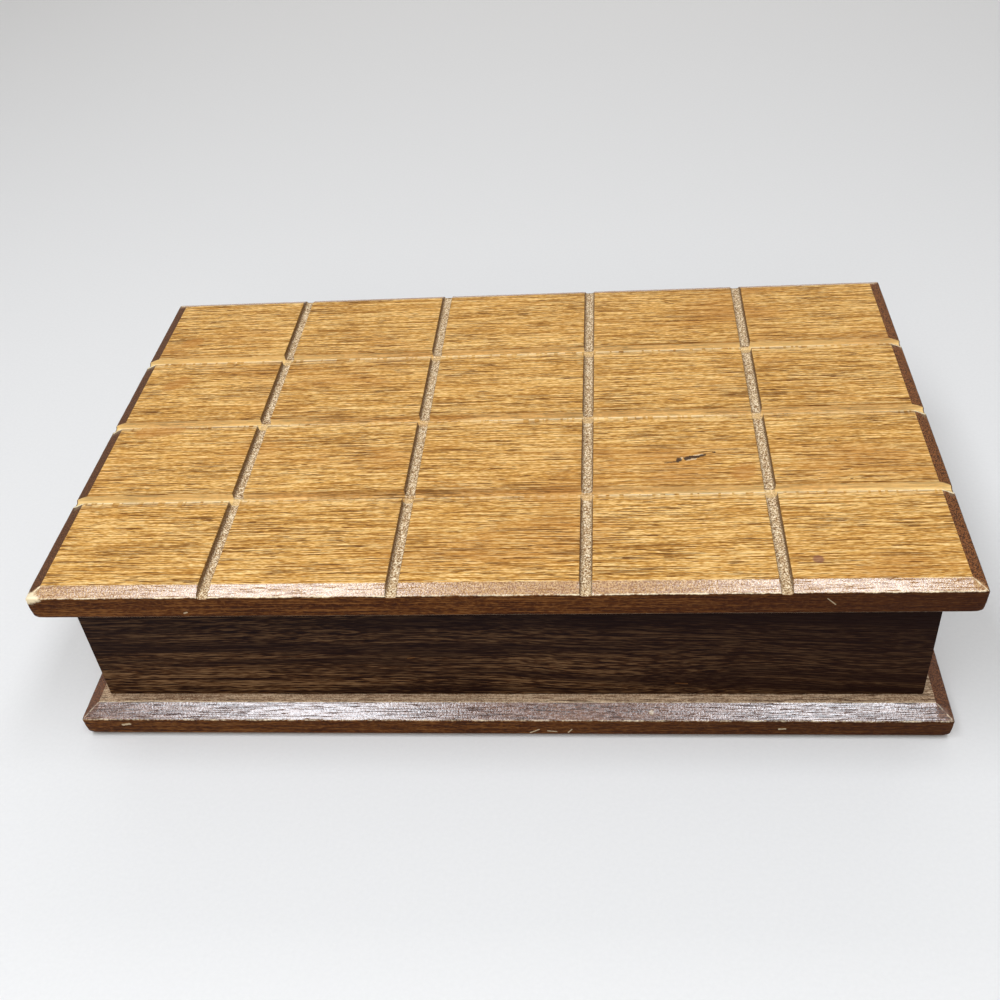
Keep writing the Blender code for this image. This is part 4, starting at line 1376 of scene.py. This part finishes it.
def make_stage(studio, colours):
    """The floor, the sky, the light panels and the camera."""
    scene = bpy.context.scene
    scene.view_settings.view_transform = 'Standard'
    bm = bmesh.new()
    bmesh.ops.create_grid(bm, x_segments=12, y_segments=12, size=FLOOR_REACH)
    paper = finish_of("studio_paper", floor_finish, colours)
    floor = new_piece("studio_floor", mesh_of(bm, "studio_floor"), paper)

    world = bpy.data.worlds.new("studio_sky")
    world.use_nodes = True
    scene.world = world
    graph = Graph(world.node_tree)
    seen = graph.add("ShaderNodeLightPath", output="Is Camera Ray")
    rays = seen.socket.node
    for name in ("Is Glossy Ray", "Is Transmission Ray"):
        seen = graph.maths('MAXIMUM', seen, Signal(graph, rays.outputs[name]))
    strength = seen * (studio.sky_shown - studio.sky_light) + studio.sky_light
    sky = graph.add("ShaderNodeBackground", None,
                    {"Color": (1.0, 1.0, 1.0, 1.0), "Strength": strength})
    graph.add("ShaderNodeOutputWorld", None, {"Surface": sky})

    for name, across, width in (("left_light", studio.left_panel_x, studio.left_panel_width),
                                ("right_light", studio.right_panel_x, studio.right_panel_width)):
        light_panel(name, (across, studio.panels_y, studio.panel_height),
                    (across, studio.panels_y, 0.0), width, studio.panel_length,
                    studio.panel_radiance, studio.panel_tint)
    light_panel("front_light", studio.fill_place, (0, 0, 0), studio.fill_size, studio.fill_size,
                studio.fill_radiance, studio.fill_tint)
    floor_below = (studio.back_place[0], studio.back_place[1], 0.0)
    light_panel("back_light", studio.back_place, floor_below, studio.back_length,
                studio.back_depth, studio.back_radiance, (1.0, 1.0, 1.0))

    lens = bpy.data.cameras.new("camera")
    lens.lens = studio.lens
    camera = bpy.data.objects.new("camera", lens)
    turn = (Matrix.Rotation(studio.heading, 4, 'Z') @ Matrix.Rotation(studio.tilt, 4, 'X')
            @ Matrix.Rotation(studio.roll, 4, 'Z'))
    camera.matrix_world = Matrix.Translation(studio.camera_place) @ turn
    scene.collection.objects.link(camera)
    scene.camera = camera


class BOX_OT_stage(bpy.types.Operator):
    """Set up the floor, the soft light panels, the sky and the camera"""
    bl_idname = "jewellery_box.stage"
    bl_label = "Studio"

    def execute(self, context):
        make_stage(context.scene.box_studio, context.scene.box_colours)
        return {'FINISHED'}


class BOX_OT_lid_board(bpy.types.Operator):
    """Carve the lid from one board, with its grooves, chamfer, hinge recesses and wear"""
    bl_idname = "jewellery_box.lid_board"
    bl_label = "Lid board"

    def execute(self, context):
        make_lid_board(context.scene.box_sizes, context.scene.box_colours)
        return {'FINISHED'}


class BOX_OT_base_board(bpy.types.Operator):
    """Shape the base board with its wide chamfer and worn edges"""
    bl_idname = "jewellery_box.base_board"
    bl_label = "Base board"

    def execute(self, context):
        make_base_board(context.scene.box_sizes, context.scene.box_colours)
        return {'FINISHED'}


class BOX_OT_walls(bpy.types.Operator):
    """Stain the four walls and ease their edges"""
    bl_idname = "jewellery_box.walls"
    bl_label = "Walls"

    def execute(self, context):
        dress_walls(context.scene.box_sizes, context.scene.box_colours)
        return {'FINISHED'}


class BOX_OT_linings(bpy.types.Operator):
    """Wrap the cards on the floor, the walls and the lid in felt"""
    bl_idname = "jewellery_box.linings"
    bl_label = "Linings"

    def execute(self, context):
        make_linings(context.scene.box_sizes, context.scene.box_colours)
        return {'FINISHED'}


class BOX_OT_dividers(bpy.types.Operator):
    """Wrap the lapped dividers in felt"""
    bl_idname = "jewellery_box.dividers"
    bl_label = "Dividers"

    def execute(self, context):
        make_dividers(context.scene.box_sizes, context.scene.box_colours)
        return {'FINISHED'}


class BOX_OT_ring_cushion(bpy.types.Operator):
    """Stuff the felt rolls that hold rings"""
    bl_idname = "jewellery_box.ring_cushion"
    bl_label = "Ring cushion"

    def execute(self, context):
        make_ring_cushion(context.scene.box_sizes, context.scene.box_colours)
        return {'FINISHED'}


class BOX_OT_base_felt(bpy.types.Operator):
    """Lay the felt sheet under the base"""
    bl_idname = "jewellery_box.base_felt"
    bl_label = "Base felt"

    def execute(self, context):
        make_base_felt(context.scene.box_sizes, context.scene.box_colours)
        return {'FINISHED'}


class BOX_OT_hinges(bpy.types.Operator):
    """Finish the brass leaves and the steel pins, and cut the slotted screws"""
    bl_idname = "jewellery_box.hinges"
    bl_label = "Hinges"

    def execute(self, context):
        make_hinges(context.scene.box_sizes, context.scene.box_colours)
        return {'FINISHED'}


class BOX_OT_base_screws(bpy.types.Operator):
    """Finish the screws that hold the base"""
    bl_idname = "jewellery_box.base_screws"
    bl_label = "Base screws"

    def execute(self, context):
        make_base_screws(context.scene.box_colours)
        return {'FINISHED'}


class BOX_PT_maker(bpy.types.Panel):
    """The makers of the jewellery box's pieces"""
    bl_label = "Jewellery Box"
    bl_space_type = 'VIEW_3D'
    bl_region_type = 'UI'
    bl_category = "Jewellery Box"

    def draw(self, context):
        for operator in OPERATORS:
            self.layout.operator(operator.bl_idname)


SETTINGS = {"box_sizes": BoxSizes, "box_colours": BoxColours, "box_studio": BoxStudio}
OPERATORS = (BOX_OT_stage, BOX_OT_lid_board, BOX_OT_base_board, BOX_OT_walls, BOX_OT_linings,
             BOX_OT_dividers, BOX_OT_ring_cushion, BOX_OT_base_felt, BOX_OT_hinges,
             BOX_OT_base_screws)


def register():
    """Make the classes known, and give the scene its settings."""
    for kind in (*SETTINGS.values(), *OPERATORS, BOX_PT_maker):
        bpy.utils.register_class(kind)
    for name, kind in SETTINGS.items():
        setattr(bpy.types.Scene, name, PointerProperty(type=kind))


def unregister():
    """Undo what register does."""
    for name in SETTINGS:
        delattr(bpy.types.Scene, name)
    for kind in reversed((*SETTINGS.values(), *OPERATORS, BOX_PT_maker)):
        bpy.utils.unregister_class(kind)


def main():
    """Make every piece in order."""
    register()
    for operator in OPERATORS:
        group, name = operator.bl_idname.split(".")
        getattr(getattr(bpy.ops, group), name)()
    bpy.context.view_layer.update()


if __name__ == "__main__":
    main()
